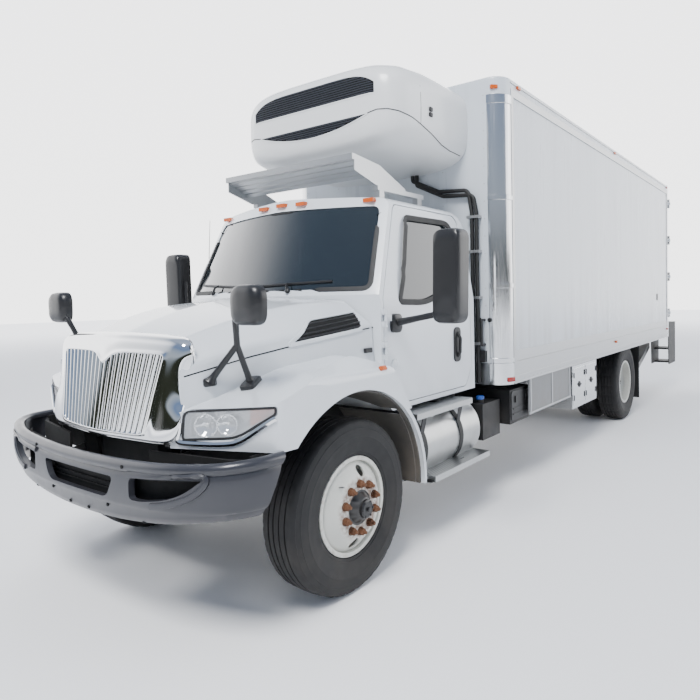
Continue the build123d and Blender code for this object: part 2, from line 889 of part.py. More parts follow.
def surround_outline(grow):
    """The bright surround's outer edge, seen from the front."""
    return mirrored([(604 + grow, 1026 - grow, 20), (647 + grow, 1545 + grow, 70), (0, 1552 + grow, 200)])


def lamp_outline(grow):
    """The left headlight's edge, seen from the front."""
    return [
        (662 - grow, 1042 - grow, 20),
        (960, 1062 - grow, 60),
        (1170 + grow, 1193 - grow, 16),
        (1170 + grow, 1236 + grow, 10),
        (674 - grow, 1202 + grow, 40),
    ]


def grille():
    """The bright surround with its row of upright bars."""
    slab = leaned(grille_plan(0, 700, 45), 1026, 1560)
    surround = slab & front_prism(surround_outline(0), 600, 1100)
    opening = front_prism(mirrored([(503, 1060, 30), (529, 1475, 50), (90, 1475, 20), (0, 1410, 10)]), 600, 1100)
    surround -= opening
    bars = None
    count = 10
    for side in (1, -1):
        for index in range(count):
            y = side * (26 + index * 49)
            x = 968 - 45 * abs(y) / 500
            bar = leaned([(x - 4, y - 11, 0), (x - 4, y + 11, 0), (x - 34, y + 11, 0), (x - 34, y - 11, 0)], 1050, 1500)
            bars = bar if bars is None else bars + bar
    bars &= front_prism(mirrored([(510, 1050, 30), (536, 1485, 50), (90, 1485, 20), (0, 1420, 10)]), 600, 1100)
    return surround + bars


def headlights():
    """The two swept lamps set into the fenders' noses."""
    lamp = (fender_form(1) - fender_form(HOOD_WALL + 30)) & front_prism(lamp_outline(0), 500, 1000)
    return both(lamp)


def hood_mirrors():
    """The two round-cornered mirrors on forked stalks at the fenders' noses."""
    x, y, z = 645, 967, 1755
    head = front_prism(
        [(y - 60, z - 125, 50), (y + 105, z - 125, 50), (y + 105, z + 115, 60), (y - 60, z + 115, 60)],
        x - 10,
        x + 60,
    )
    head = fillet(head.faces().sort_by(Axis.X)[-1].edges(), 24)
    stem = rod((AXLE_X + x + 20, y - 50, z - 60), (AXLE_X + 600, y + 5, 1480), 14)
    leg = rod((AXLE_X + 600, y + 5, 1480), (AXLE_X + 560, y + 30, 1345), 13)
    brace = rod((AXLE_X + 600, y + 5, 1480), (AXLE_X + 740, y - 130, 1325), 12)
    return both(head + stem + leg + brace)


# Box body


def marker_lamps():
    """The five amber lamps on the cab's brow."""
    lamps = []
    radius = (SCREEN_SPAN**2 + SCREEN_SAG**2) / (2 * SCREEN_SAG)
    for y in (-770, -204, 0, 204, 770):
        z = CAB_TOP - 48 - abs(y) / 30
        lean = SCREEN_LEAN[0] / SCREEN_LEAN[2] * (z - SCREEN_BASE)
        x = SCREEN_FOOT + lean - radius + math.sqrt(radius**2 - y**2)
        lamps.append(ahead(x - 5, x + 32, y - 45, y + 45, z - 14, z + 14))
    return group(*lamps) - cab_form(0.5, CAB_BASE) - cab_form(0, CAB_BASE)


def box_plan(inset):
    """The body's plan face with its rounded front corners, moved in by an inset."""
    rows = [
        (BOX_REAR_X, BOX_HALF - inset, 0),
        (BOX_FRONT_X - inset, BOX_HALF - inset, CORNER_RADIUS - inset),
        (BOX_FRONT_X - inset, inset - BOX_HALF, CORNER_RADIUS - inset),
        (BOX_REAR_X, inset - BOX_HALF, 0),
    ]
    return outline(rows)


REAR_FRAME = 80
CORNER_TOP = 3500
DOOR_HALF = BOX_HALF - DOOR_SIDE_POST


def box_ring(z0, z1, inset=0, depth=BOX_WALL):
    """The body's wall ring between two heights."""
    outer = extrude(Plane.XY.offset(z0) * box_plan(inset), amount=z1 - z0)
    inner = extrude(Plane.XY.offset(z0) * box_plan(inset + depth), amount=z1 - z0)
    return outer - inner


def corner_zone(z0, z1):
    """The square columns that hold the body's two rounded front corners."""
    x0 = BOX_FRONT_X - CORNER_RADIUS
    y0 = BOX_HALF - CORNER_RADIUS
    left = block(x0, BOX_FRONT_X + 1, y0, BOX_HALF + 1, z0, z1)
    return left + flip(left)


def corner_posts():
    """The two polished quarter-round front corners."""
    return group(box_ring(BOX_BASE, CORNER_TOP) & corner_zone(BOX_BASE, CORNER_TOP))


def box_walls():
    """The insulated front wall that carries the cooling unit, and the two side walls."""
    half = BOX_HALF - CORNER_RADIUS
    low, high = BOX_BASE + SILL_HEIGHT, BOX_TOP - BOX_ROOF
    front = block(BOX_FRONT_X - BOX_WALL, BOX_FRONT_X, -half, half, low, high)
    side = block(
        BOX_REAR_X + REAR_FRAME,
        BOX_FRONT_X - CORNER_RADIUS,
        BOX_HALF - BOX_WALL,
        BOX_HALF - 4,
        low,
        high,
    )
    return group(front, both(side))


def box_roof():
    """The insulated roof with its caps over the front corners."""
    slab = extrude(Plane.XY.offset(BOX_TOP - BOX_ROOF) * box_plan(0), amount=BOX_ROOF)
    slab -= block(BOX_REAR_X - 1, BOX_REAR_X + REAR_FRAME, -BOX_HALF - 1, BOX_HALF + 1, CORNER_TOP, BOX_TOP + 1)
    slab = fillet(slab.faces().sort_by(Axis.Z)[-1].edges(), 20)
    caps = box_ring(CORNER_TOP, BOX_TOP - BOX_ROOF) & corner_zone(CORNER_TOP, BOX_TOP - BOX_ROOF)
    return slab + caps


def box_floor():
    """The insulated floor slab."""
    underside = BOX_BASE + BEARER_DEPTH
    slab = extrude(Plane.XY.offset(underside) * box_plan(BOX_WALL), amount=BOX_FLOOR_TOP - underside)
    return slab - block(BOX_REAR_X - 1, BOX_REAR_X + REAR_FRAME, -BOX_HALF, BOX_HALF, BOX_BASE, BOX_TOP)


BEARER_DEPTH = 100
BEARER_STEP = 560


def floor_bearers():
    """The cross bearers under the floor, left out over the rear tyres."""
    bars = []
    half = BOX_HALF - BOX_WALL
    for index in range(12):
        x = BOX_FRONT_X - 300 - index * BEARER_STEP
        if abs(x - REAR_AXLE_X) > TYRE_RADIUS + 60:
            bars.append(block(x - 35, x + 35, -half, half, BOX_BASE, BOX_BASE + BEARER_DEPTH))
    return group(*bars)


def sill_rails():
    """The bright bottom rails along both sides and across the front."""
    ring = box_ring(BOX_BASE, BOX_BASE + 100, 0, 30) + box_ring(BOX_BASE + 100, BOX_BASE + SILL_HEIGHT)
    ring -= corner_zone(BOX_BASE - 1, BOX_BASE + SILL_HEIGHT + 1)
    ring -= block(BOX_REAR_X - 1, BOX_REAR_X + REAR_FRAME, -BOX_HALF - 1, BOX_HALF + 1, BOX_BASE - 1, BOX_TOP)
    return ring


def rear_frame():
    """The steel portal round the rear doors, with its sill and its hinge knuckles."""
    portal = block(BOX_REAR_X, BOX_REAR_X + REAR_FRAME, -BOX_HALF, BOX_HALF, BOX_BASE, BOX_TOP)
    portal -= block(BOX_REAR_X - 1, BOX_REAR_X + REAR_FRAME + 1, -DOOR_HALF, DOOR_HALF, BOX_FLOOR_TOP, CORNER_TOP)
    for z in HINGE_ZS:
        for side in (1, -1):
            y0, y1 = sorted((side * (BOX_HALF - 50), side * (BOX_HALF + 24)))
            for low, high in ((z - 75, z - 28), (z + 28, z + 75)):
                lug = block(BOX_REAR_X - 42, BOX_REAR_X, y0, y1, low, high)
                lug -= rod((PIN_X, side * PIN_Y, low - 1), (PIN_X, side * PIN_Y, high + 1), 8)
                portal += lug
    return portal


PIN_Y = BOX_HALF + 12
PIN_X = BOX_REAR_X - 30
HINGE_ZS = (1420, 2060, 2700, 3340)


def rear_door():
    """The left rear door with its hinge straps, pins, lock rod and guides."""
    z0, z1 = BOX_FLOOR_TOP + 20, CORNER_TOP - 6
    rows = [
        (BOX_REAR_X, 3, 0),
        (BOX_REAR_X + DOOR_THICK, 12, 0),
        (BOX_REAR_X + DOOR_THICK, DOOR_HALF - 6, 0),
        (BOX_REAR_X, DOOR_HALF - 6, 0),
    ]
    door = extrude(Plane.XY.offset(z0) * outline(rows), amount=z1 - z0)
    for z in HINGE_ZS:
        door += block(PIN_X + 8, PIN_X + 20, DOOR_HALF - 200, PIN_Y, z - 22, z + 22)
        door += block(PIN_X + 8, BOX_REAR_X + 1, DOOR_HALF - 200, DOOR_HALF - 20, z - 22, z + 22)
        door += rod((PIN_X, PIN_Y, z - 22), (PIN_X, PIN_Y, z + 22), 20)
        door += rod((PIN_X, PIN_Y, z - 74), (PIN_X, PIN_Y, z + 74), 8 - FIT)
    for y in (330, 800):
        door += rod((BOX_REAR_X - 22, y, z0 + 10), (BOX_REAR_X - 22, y, z1 - 10), 13)
        for z in (z0 + 60, z0 + 500, 2300, z1 - 500, z1 - 60):
            door += block(BOX_REAR_X - 36, BOX_REAR_X + 1, y - 40, y + 40, z - 25, z + 25)
    door += block(BOX_REAR_X - 36, BOX_REAR_X - 22, 330, 760, 1640, 1675)
    return door


def rear_steps():
    """The bed extension behind the body and the step ladder at each of its ends."""
    top = BOX_FLOOR_TOP
    plate = block(REAR_X, BOX_REAR_X, -900, 900, top - 45, top)
    plate += block(BOX_REAR_X - 60, BOX_REAR_X, -900, 900, BOX_BASE, top - 45)
    ladder = None
    for y in (920, BOX_HALF - 12):
        cheek = extrude(
            Plane.XZ.offset(-y - 12)
            * outline(
                [
                    (BOX_REAR_X, BOX_BASE, 0),
                    (BOX_REAR_X - 40, 500, 20),
                    (REAR_X, 500, 10),
                    (REAR_X, top, 0),
                    (BOX_REAR_X, top, 0),
                ]
            ),
            amount=12,
        )
        ladder = cheek if ladder is None else ladder + cheek
    for z in (top - 30, 980, 745, 505):
        ladder += block(REAR_X, REAR_X + 340, 932, BOX_HALF - 12, z, z + 30)
    ladder += block(BOX_REAR_X - 40, BOX_REAR_X, 900, 932, BOX_BASE, top)
    return plate + ladder + flip(ladder)


GATE_PIVOT = (-7990, 740)
GATE_HINGE = (-8720, 925)
GATE_HALF = 880
GATE_LEAF = 1060


def liftgate_hanger():
    """The plate on the left rail's tail that carries the folding lift."""
    x, z = GATE_PIVOT
    hanger = side_prism(
        [(x - 80, z - 70, 40), (x + 500, FRAME_BASE, 0), (x + 500, FRAME_TOP - 10, 0), (x - 80, FRAME_TOP - 10, 0)],
        FRAME_HALF,
        FRAME_HALF + 16,
    )
    hanger -= cross_rod(x, z, FRAME_HALF - 1, FRAME_HALF + 20, 35 + FIT)
    return hanger


def liftgate_arms():
    """The two lift arms on their cross tube."""
    x, z = GATE_PIVOT
    hx, hz = GATE_HINGE
    tube = cross_rod(x, z, -560, 560, 35)
    arms = tube
    for side in (1, -1):
        y0, y1 = sorted((side * 500, side * 540))
        arm = side_prism([(x + 55, z - 55, 50), (x + 55, z + 55, 50), (hx - 40, hz + 35, 30), (hx - 40, hz - 35, 30)], y0, y1)
        arm -= cross_rod(hx, hz, y0 - 1, y1 + 1, 18 + FIT)
        arms += arm
    return arms


def liftgate_platform():
    """The folded two-leaf platform, stowed on a slope under the tail."""
    hx, hz = GATE_HINGE
    slope = math.radians(20)
    along = Vector(math.cos(slope), 0, -math.sin(slope))
    down = Vector(-math.sin(slope), 0, -math.cos(slope))
    plane = Plane(origin=Vector(AXLE_X + hx, 0, hz) + down * 80, x_dir=along, z_dir=Vector(0, -1, 0))
    upper = extrude(plane * Pos(GATE_LEAF / 2, 0) * Rectangle(GATE_LEAF, 40), amount=GATE_HALF, both=True)
    lower = extrude(plane * Pos(GATE_LEAF / 2, -50) * Rectangle(GATE_LEAF - 20, 40), amount=GATE_HALF, both=True)
    joint = extrude(plane * Pos(GATE_LEAF - 30, -25) * Rectangle(50, 50), amount=GATE_HALF, both=True)
    platform = upper + lower + joint
    for side in (1, -1):
        for y in (460, 556):
            y0, y1 = sorted((side * y, side * (y + 24)))
            lug = cross_rod(hx, hz, y0, y1, 34) + ahead(hx - 20, hx + 34, y0, y1, hz - 90, hz)
            platform += lug
        y0, y1 = sorted((side * 460, side * 580))
        platform += cross_rod(hx, hz, y0, y1, 18)
    return platform


# Cooling unit


UNIT_HALF = 860
UNIT_BASE = BOX_TOP - 750


def unit_form(inset):
    """The cooling unit's outer form, moved in by an inset."""
    front = CAB_BACK + CAB_TO_BOX
    side = side_prism(
        [
            (-front, UNIT_BASE, 0),
            (-front + 500, UNIT_BASE + inset, 200),
            (-front + 880, UNIT_BASE + 140 + inset, 160),
            (-front + 1000 - inset, UNIT_BASE + 280, 120),
            (-front + 990 - inset, UNIT_BASE + 540, 160),
            (-front + 800, UNIT_BASE + 700 - inset, 260),
            (-front, UNIT_BASE + 660 - inset, 0),
        ],
        -1000,
        1000,
    )
    plan = plan_prism(
        [
            (-front, UNIT_HALF - inset, 0),
            (-front + 700, UNIT_HALF - inset, 240),
            (-front + 950 - inset, 640 - inset, 200),
            (-front + 1000 - inset, 0, 1200),
            (-front + 950 - inset, inset - 640, 200),
            (-front + 700, inset - UNIT_HALF, 240),
            (-front, inset - UNIT_HALF, 0),
        ],
        UNIT_BASE - 100,
        UNIT_BASE + 800,
    )
    return side & plan


def unit_part_line(gap):
    """The side view of everything above the unit's parting line."""
    front = CAB_BACK + CAB_TO_BOX
    return [
        (-front - 10, UNIT_BASE + 105 + gap, 0),
        (-front + 300, UNIT_BASE + 130 + gap, 200),
        (-front + 700, UNIT_BASE + 230 + gap, 200),
        (-front + 1100, UNIT_BASE + 230 + gap, 0),
        (-front + 1100, UNIT_BASE + 900, 0),
        (-front - 10, UNIT_BASE + 900, 0),
    ]


def bow(half, flat_z, bow_z, end_z):
    """A band seen from the front: straight along flat_z, bowed to bow_z at the middle, end_z high at its ends."""
    arc = ThreePointArc((-half, end_z), (0, bow_z), (half, end_z))
    rest = Polyline((half, end_z), (half, flat_z), (-half, flat_z), (-half, end_z))
    face = Plane.YZ.offset(AXLE_X - 1400) * make_face(Curve() + [arc, rest])
    return extrude(face, amount=600)


def unit_bands(grow):
    """The two louvred openings in the unit's nose."""
    z = UNIT_BASE
    upper = bow(770 + grow, z + 425 - grow, z + 600 + grow, z + 500 + grow)
    lower = bow(690 + grow, z + 345 + grow, z + 240 - grow, z + 335 - grow)
    return upper + lower


def cooling_unit():
    """The housing and the drip pan below its parting line."""
    form = unit_form(0)
    housing = (form & side_prism(unit_part_line(3), -1000, 1000)) - (unit_bands(0) - unit_form(16))
    pan = form - side_prism(unit_part_line(0), -1001, 1001)
    return group(housing, pan)


def unit_louvres():
    """The dark louvre panels set into the unit's nose."""
    return (unit_form(8) - unit_form(16)) & unit_bands(-2)


RACK_HALF = 690
RACK_Z = CAB_TOP + 72


def roof_rack():
    """The slatted deflector over the cab: front bar, slats and end plates on two roof rails."""
    rack = ahead(-606, -574, -RACK_HALF, RACK_HALF, RACK_Z + 146, RACK_Z + 188)
    # ahead of the axle, above the plates' foot
    for x, up in ((-632, 128), (-684, 106), (-736, 84), (-788, 62)):
        rack += side_prism(
            [(x - 20, RACK_Z + up - 8, 0), (x + 20, RACK_Z + up + 8, 0), (x + 20, RACK_Z + up + 20, 0), (x - 20, RACK_Z + up + 4, 0)],
            -RACK_HALF,
            RACK_HALF,
        )
    plate = [
        (-1235, RACK_Z + 2, 0),
        (-850, RACK_Z, 60),
        (-598, RACK_Z + 72, 0),
        (-598, RACK_Z + 188, 0),
        (-900, RACK_Z + 153, 60),
        (-1235, RACK_Z + 18, 0),
    ]
    for side in (1, -1):
        y0, y1 = sorted((side * (RACK_HALF - 8), side * RACK_HALF))
        rack += side_prism(plate, y0, y1)
        y0, y1 = sorted((side * (RACK_HALF - 50), side * RACK_HALF))
        rack += ahead(-1500, -870, y0, y1, RACK_Z - 32, RACK_Z + 4)
        for x in (-920, -1440):
            rack += ahead(x - 30, x + 30, y0, y1, RACK_Z - 130, RACK_Z - 31)
    return rack - cab_form(-1, CAB_BASE)


# Side equipment


TANK_Y = 820
TANK_Z = 665
TANK_RADIUS = 250
STEP_XS = (-870, -1400)
STRUT_Y = TANK_Y + TANK_RADIUS + 6


def fuel_tank():
    """The round fuel tank with its two straps and frame brackets."""
    tank = long_rod(-1725, -705, TANK_Y, TANK_Z, TANK_RADIUS)
    for x in STEP_XS:
        tank += long_rod(x - 30, x + 30, TANK_Y, TANK_Z, TANK_RADIUS + 4)
        tank += ahead(x - 30, x + 30, FRAME_HALF, TANK_Y, TANK_Z - 60, TANK_Z + 120)
    return tank


UPPER_STEP = (-1480, -680, 985, 1135, 965)
LOWER_STEP = (-1718, -862, 1005, 1162, 488)


def cab_steps():
    """The two grip steps on each side, each with its turned-down lip."""
    plates = []
    for rear, front, inner, outer, top in (UPPER_STEP, LOWER_STEP):
        plate = ahead(rear, front, inner, outer, top - 26, top)
        plate += ahead(rear, front, outer - 16, outer, top - 44, top)
        for x in STEP_XS:
            plate -= ahead(x - 26, x + 26, STRUT_Y - 1, STRUT_Y + 11, LOWER_STEP[4] - 60, LOWER_STEP[4] + 60)
        plates.append(plate)
    return both(group(*plates))


def step_hangers():
    """The two brackets on each side that carry both steps past the tank."""
    hangers = []
    upper, lower = UPPER_STEP[4] - 26, LOWER_STEP[4] - 26
    for x in STEP_XS:
        arm = ahead(x - 25, x + 25, FRAME_HALF, UPPER_STEP[3] - 17, upper - 12, upper)
        strut = ahead(x - 25, x + 25, STRUT_Y, STRUT_Y + 10, lower - 12, upper)
        foot = ahead(x - 25, x + 25, LOWER_STEP[2], LOWER_STEP[3] - 17, lower - 12, lower)
        hangers.append(arm + strut + foot)
    return both(group(*hangers))


def side_gear():
    """The tool box, the fluid tank with its filler neck and the air reservoir behind the cab."""
    tool_box = ahead(-2640, -2195, 560, 1130, 612, 920)
    fluid_tank = ahead(-2130, -1800, 640, 1060, 540, 850) + post(-1900, 985, 849, 880, 32)
    air_tank = long_rod(-2900, -2150, 560, 470, 90)
    return group(tool_box, fluid_tank, air_tank)


def steel_cabinet():
    """The polished cabinet ahead of the left rear wheels."""
    return ahead(-4540, -3680, 560, 1190, 510, 985)


def side_skirts():
    """The plain skirt panels with their braces."""
    return ahead(-3650, -2510, 1170, 1180, 650, 995)


def exhaust():
    """The treatment canister under the cab's right side and the tail pipe."""
    can = long_rod(-1850, -900, -790, 640, 230)
    pipe = long_rod(-4600, -1850, -560, 600, 55)
    return can + pipe + ahead(-1920, -1850, -790, -540, 560, 680)


def mud_flaps():
    """The rubber flaps behind the rear wheels."""
    return both(ahead(-6690, -6680, 560, 1180, 200, 1000))


def wall_hoses():
    """The two cooling hoses down the front wall."""
    paths = []
    front = CAB_BACK + CAB_TO_BOX
    for shift in (0, 45):
        points = [
            (AXLE_X - front + 40, 320 + shift, UNIT_BASE - 1),
            (AXLE_X - front + 40, 320 + shift, UNIT_BASE - 50 - shift),
            (AXLE_X - front + 40, 600 + shift, UNIT_BASE - 180 - shift),
            (AXLE_X - front + 40, 900 + shift, UNIT_BASE - 200 - shift),
            (AXLE_X - front + 40, 930 + shift, UNIT_BASE - 400),
            (AXLE_X - front + 40, 930 + shift, 1020),
        ]
        path = FilletPolyline(*points, radius=[20, 60, 60, 60])
        section = Plane(origin=points[0], z_dir=(0, 0, -1)) * Circle(18)
        paths.append(sweep(section, path=path))
    return group(*paths)


def exported():
    """Every node by name."""
    tyre_rows = tyre_section()
    left_front_tyre = place_wheel(revolve_y(tyre_rows, FRONT_TYRE_Y), 0)
    left_front_rim = place_wheel(front_wheel(), 0)
    rear_pair = group(revolve_y(tyre_rows, DUAL_OUTER_Y), revolve_y(tyre_rows, DUAL_INNER_Y))
    left_rear_tyre = place_wheel(rear_pair, -WHEELBASE)
    left_rear_rim = place_wheel(rear_wheel(), -WHEELBASE)
    door = cab_door()
    glass = door_glass()
    head = cab_mirror()
    left_knuckle = knuckle()
    back_door = rear_door()
    nodes = {
        "frame_rails": frame_rails(),
        "crossmembers": crossmembers(),
        "front_axle": front_axle(),
        "rear_axle": rear_axle(),
        "engine": engine(),
        "bumper": bumper(),
        "knuckle_left": left_knuckle,
        "knuckle_right": flip(left_knuckle),
        "tie_rod": tie_rod(),
        "tyre_front_left": left_front_tyre,
        "tyre_front_right": flip(left_front_tyre),
        "wheel_front_left": left_front_rim,
        "wheel_front_right": flip(left_front_rim),
        "tyres_rear_left": left_rear_tyre,
        "tyres_rear_right": flip(left_rear_tyre),
        "wheels_rear_left": left_rear_rim,
        "wheels_rear_right": flip(left_rear_rim),
        "cab_shell": cab_shell(),
        "cab_glass": cab_glass(),
        "door_left": door,
        "door_right": flip(door),
        "door_glass_left": glass,
        "door_glass_right": flip(glass),
        "mirror_left": head,
        "mirror_right": flip(head),
        "dashboard": dashboard(),
        "seats": seats(),
        "hood": hood(),
        "hood_liners": hood_liners(),
        "cab_liners": cab_liners(),
        "grille": grille(),
        "headlights": headlights(),
        "hood_mirrors": hood_mirrors(),
        "marker_lamps": marker_lamps(),
        "box_walls": box_walls(),
        "box_roof": box_roof(),
        "box_floor": box_floor(),
        "floor_bearers": floor_bearers(),
        "sill_rails": sill_rails(),
        "corner_posts": corner_posts(),
        "rear_frame": rear_frame(),
        "rear_door_left": back_door,
        "rear_door_right": flip(back_door),
        "rear_steps": rear_steps(),
        "liftgate_arms": liftgate_arms(),
        "liftgate_platform": liftgate_platform(),
        "cooling_unit": cooling_unit(),
        "unit_louvres": unit_louvres(),
        "roof_rack": roof_rack(),
        "fuel_tank": fuel_tank(),
        "cab_steps": cab_steps(),
        "step_hangers": step_hangers(),
        "side_gear": side_gear(),
        "steel_cabinet": steel_cabinet(),
        "side_skirts": side_skirts(),
        "exhaust": exhaust(),
        "mud_flaps": mud_flaps(),
        "wall_hoses": wall_hoses(),
    }
    return nodes


os.makedirs("parts", exist_ok=True)
for name, shape in exported().items():
    export_step(shape, f"parts/{name}.step")
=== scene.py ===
"""A refrigerated truck with a bonneted cab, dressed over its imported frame."""

import math

import bmesh
import bpy
from bpy.props import FloatProperty, FloatVectorProperty, IntProperty, PointerProperty
from mathutils import Matrix, Vector
from mathutils.bvhtree import BVHTree


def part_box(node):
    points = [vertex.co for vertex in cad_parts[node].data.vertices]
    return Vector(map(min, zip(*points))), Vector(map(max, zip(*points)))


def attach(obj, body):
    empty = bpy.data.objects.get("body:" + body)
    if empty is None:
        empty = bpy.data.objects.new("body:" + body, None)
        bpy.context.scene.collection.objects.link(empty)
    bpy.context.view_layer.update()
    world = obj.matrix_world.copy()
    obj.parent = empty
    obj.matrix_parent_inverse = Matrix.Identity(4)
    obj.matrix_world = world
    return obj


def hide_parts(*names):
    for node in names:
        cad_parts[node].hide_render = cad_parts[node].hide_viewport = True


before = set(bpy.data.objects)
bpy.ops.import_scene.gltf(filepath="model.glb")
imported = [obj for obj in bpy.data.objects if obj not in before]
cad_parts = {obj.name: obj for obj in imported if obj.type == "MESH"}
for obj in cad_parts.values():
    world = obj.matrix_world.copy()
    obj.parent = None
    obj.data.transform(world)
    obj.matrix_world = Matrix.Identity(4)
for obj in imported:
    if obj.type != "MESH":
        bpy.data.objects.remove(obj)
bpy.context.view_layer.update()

bl_info = {
    "name": "Refrigerated truck",
    "version": (1, 0, 0),
    "blender": (4, 5, 0),
    "location": "View3D > Sidebar > Truck",
    "description": "Adds the finishes, trim and fittings of a refrigerated truck",
    "category": "Object",
}


def middle(node):
    """The centre of a frame node's box."""
    low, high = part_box(node)
    return (low + high) / 2


FRONT_AXLE = middle("tyre_front_left")
REAR_AXLE = middle("tyres_rear_left")
TYRE_LOW, TYRE_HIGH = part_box("tyre_front_left")
BOX_LOW, BOX_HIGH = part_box("box_walls")
RAIL_LOW, RAIL_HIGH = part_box("sill_rails")
BOX_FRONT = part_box("box_roof")[1].x
BOX_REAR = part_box("rear_frame")[0].x + 0.042
POST_RADIUS = 0.155
POST_CENTRE = Vector((BOX_FRONT - POST_RADIUS, BOX_HIGH.y - 0.151, 0))


def ahead(x, y, z):
    """A place given by its distance ahead of the front axle."""
    return Vector((FRONT_AXLE.x + x, y, z))


# Finishes


class Value:
    """A shader value that can be added, scaled and compared like a number."""

    def __init__(self, finish, socket):
        self.finish = finish
        self.socket = socket

    def combine(self, operation, first, second):
        return self.finish.node("ShaderNodeMath", {"operation": operation}, {0: first, 1: second})

    def __add__(self, other):
        return self.combine("ADD", self, other)

    __radd__ = __add__

    def __sub__(self, other):
        return self.combine("SUBTRACT", self, other)

    def __rsub__(self, other):
        return self.combine("SUBTRACT", other, self)

    def __mul__(self, other):
        return self.combine("MULTIPLY", self, other)

    __rmul__ = __mul__

    def __truediv__(self, other):
        return self.combine("DIVIDE", self, other)

    def __rtruediv__(self, other):
        return self.combine("DIVIDE", other, self)

    def __pow__(self, other):
        return self.combine("POWER", self, other)

    def __gt__(self, other):
        return self.combine("GREATER_THAN", self, other)

    def __lt__(self, other):
        return self.combine("LESS_THAN", self, other)

    def size(self):
        return self.combine("ABSOLUTE", self, 0)

    def wave(self):
        return self.combine("SINE", self, 0)

    def rise(self, start, end):
        """0 below start, 1 above end and a smooth rise between them."""
        step = {"interpolation_type": "SMOOTHSTEP"}
        return self.finish.node(
            "ShaderNodeMapRange", step, {"Value": self, "From Min": start, "From Max": end}
        )


class Finish:
    """One material: constants on its shader, and masks made from the piece's own coordinates."""

    def __init__(self, name, color, rough=0.5, metal=0.0, **more):
        self.material = bpy.data.materials.new(name)
        self.material.use_nodes = True
        self.tree = self.material.node_tree
        self.shader = self.tree.nodes["Principled BSDF"]
        self.color = (*color, 1.0)
        self.put("Base Color", self.color)
        self.put("Roughness", rough)
        self.put("Metallic", metal)
        for label, value in more.items():
            self.put(label.replace("_", " ").title().replace("Ior", "IOR"), value)
        self.place = None

    def put(self, label, value):
        """Sets or links one of the shader's own sockets."""
        self.join(self.shader.inputs[label], value)

    def join(self, socket, value):
        if isinstance(value, Value):
            self.tree.links.new(value.socket, socket)
        elif isinstance(value, tuple) and len(value) == 3 and socket.type == "RGBA":
            socket.default_value = (*value, 1.0)
        else:
            socket.default_value = value

    def node(self, kind, settings, inputs, output=0):
        """Adds any node: its settings first, then the values or links of its sockets."""
        node = self.tree.nodes.new(kind)
        for label, value in settings.items():
            setattr(node, label, value)
        for label, value in inputs.items():
            self.join(node.inputs[label], value)
        return Value(self, node.outputs[output])

    def coords(self):
        """The piece's own coordinates as one vector."""
        if self.place is None:
            self.place = self.node("ShaderNodeTexCoord", {}, {}, "Object")
        return self.place

    def xyz(self):
        """The piece's own coordinates as three numbers."""
        split = self.node("ShaderNodeSeparateXYZ", {}, {0: self.coords()})
        outputs = split.socket.node.outputs
        return [Value(self, outputs[index]) for index in range(3)]

    def noise(self, scale, detail=3.0, stretch=(1.0, 1.0, 1.0), rough=0.55):
        """Cloudy noise from 0 to 1, stretched along the axes."""
        place = self.node("ShaderNodeMapping", {}, {"Vector": self.coords(), "Scale": stretch})
        inputs = {"Vector": place, "Scale": scale, "Detail": detail, "Roughness": rough}
        return self.node("ShaderNodeTexNoise", {}, inputs, 0)

    def blend(self, factor, first, second):
        """A mix of two colours."""
        node = self.tree.nodes.new("ShaderNodeMix")
        node.data_type = "RGBA"
        self.join(node.inputs["Factor"], factor)
        colors = [socket for socket in node.inputs if socket.type == "RGBA"]
        self.join(colors[0], first)
        self.join(colors[1], second)
        return Value(self, next(socket for socket in node.outputs if socket.type == "RGBA"))

    def tint(self, factor, color):
        """Turns the base colour towards another where factor is 1."""
        base = self.shader.inputs["Base Color"]
        current = Value(self, base.links[0].from_socket) if base.is_linked else self.color
        self.put("Base Color", self.blend(factor, current, (*color, 1.0)))

    def bump(self, height, depth, strength=1.0):
        """Relief on the surface, in metres."""
        node = self.node("ShaderNodeBump", {}, {"Height": height, "Distance": depth, "Strength": strength}, 0)
        self.put("Normal", node)


def road_dirt(finish, top, strength=0.6, color=(0.16, 0.13, 0.10)):
    """Dried spray that thickens from top down to the road."""
    z = finish.xyz()[2]
    patches = finish.noise(5.0, 5.0)
    mask = (1 - z.rise(top * 0.35, top)) * patches.rise(0.3, 0.75) * strength
    finish.tint(mask, color)


def white_paint():
    """The cab's white enamel, thinly streaked with dried rain."""
    finish = Finish("cab white enamel", (0.66, 0.69, 0.72), 0.24, coat_weight=0.6, coat_roughness=0.06)
    streaks = finish.noise(6.0, 4.0, (1.0, 1.0, 0.12))
    finish.tint(streaks.rise(0.55, 0.85) * 0.12, (0.52, 0.52, 0.50))
    road_dirt(finish, 1.35, 0.35)
    x, y, z = finish.xyz()
    # Black on the bonnet's hinge arms is their own colour. The same box also blackens the bonnet's lowest
    # edge behind the bumper, which is painted shade.
    arms = (x > FRONT_AXLE.x + 0.55) * (y.size() < 0.6) * (z < 1.02)
    finish.tint(arms, (0.02, 0.02, 0.02))
    finish.put("Roughness", streaks * 0.12 + 0.18)
    return finish


def panel_white():
    """The body's white skin: long soft streaks, and the slight waves of a thin sheet."""
    finish = Finish("body panel white", (0.56, 0.60, 0.64), 0.3, coat_weight=0.35, coat_roughness=0.12)
    streaks = finish.noise(9.0, 5.0, (1.0, 1.0, 0.05))
    clouds = finish.noise(1.3, 4.0, (1.0, 1.0, 0.6))
    finish.tint(streaks.rise(0.48, 0.8) * 0.3, (0.36, 0.39, 0.42))
    finish.tint(clouds.rise(0.5, 0.8) * 0.2, (0.46, 0.50, 0.54))
    z = finish.xyz()[2]
    finish.tint((1 - z.rise(1.2, 1.9)) * streaks.rise(0.35, 0.7) * 0.3, (0.34, 0.33, 0.31))
    finish.put("Roughness", streaks * 0.2 + 0.2)
    finish.bump(finish.noise(1.6, 2.0, (1.0, 1.0, 0.22)), 0.02, 0.35)
    return finish


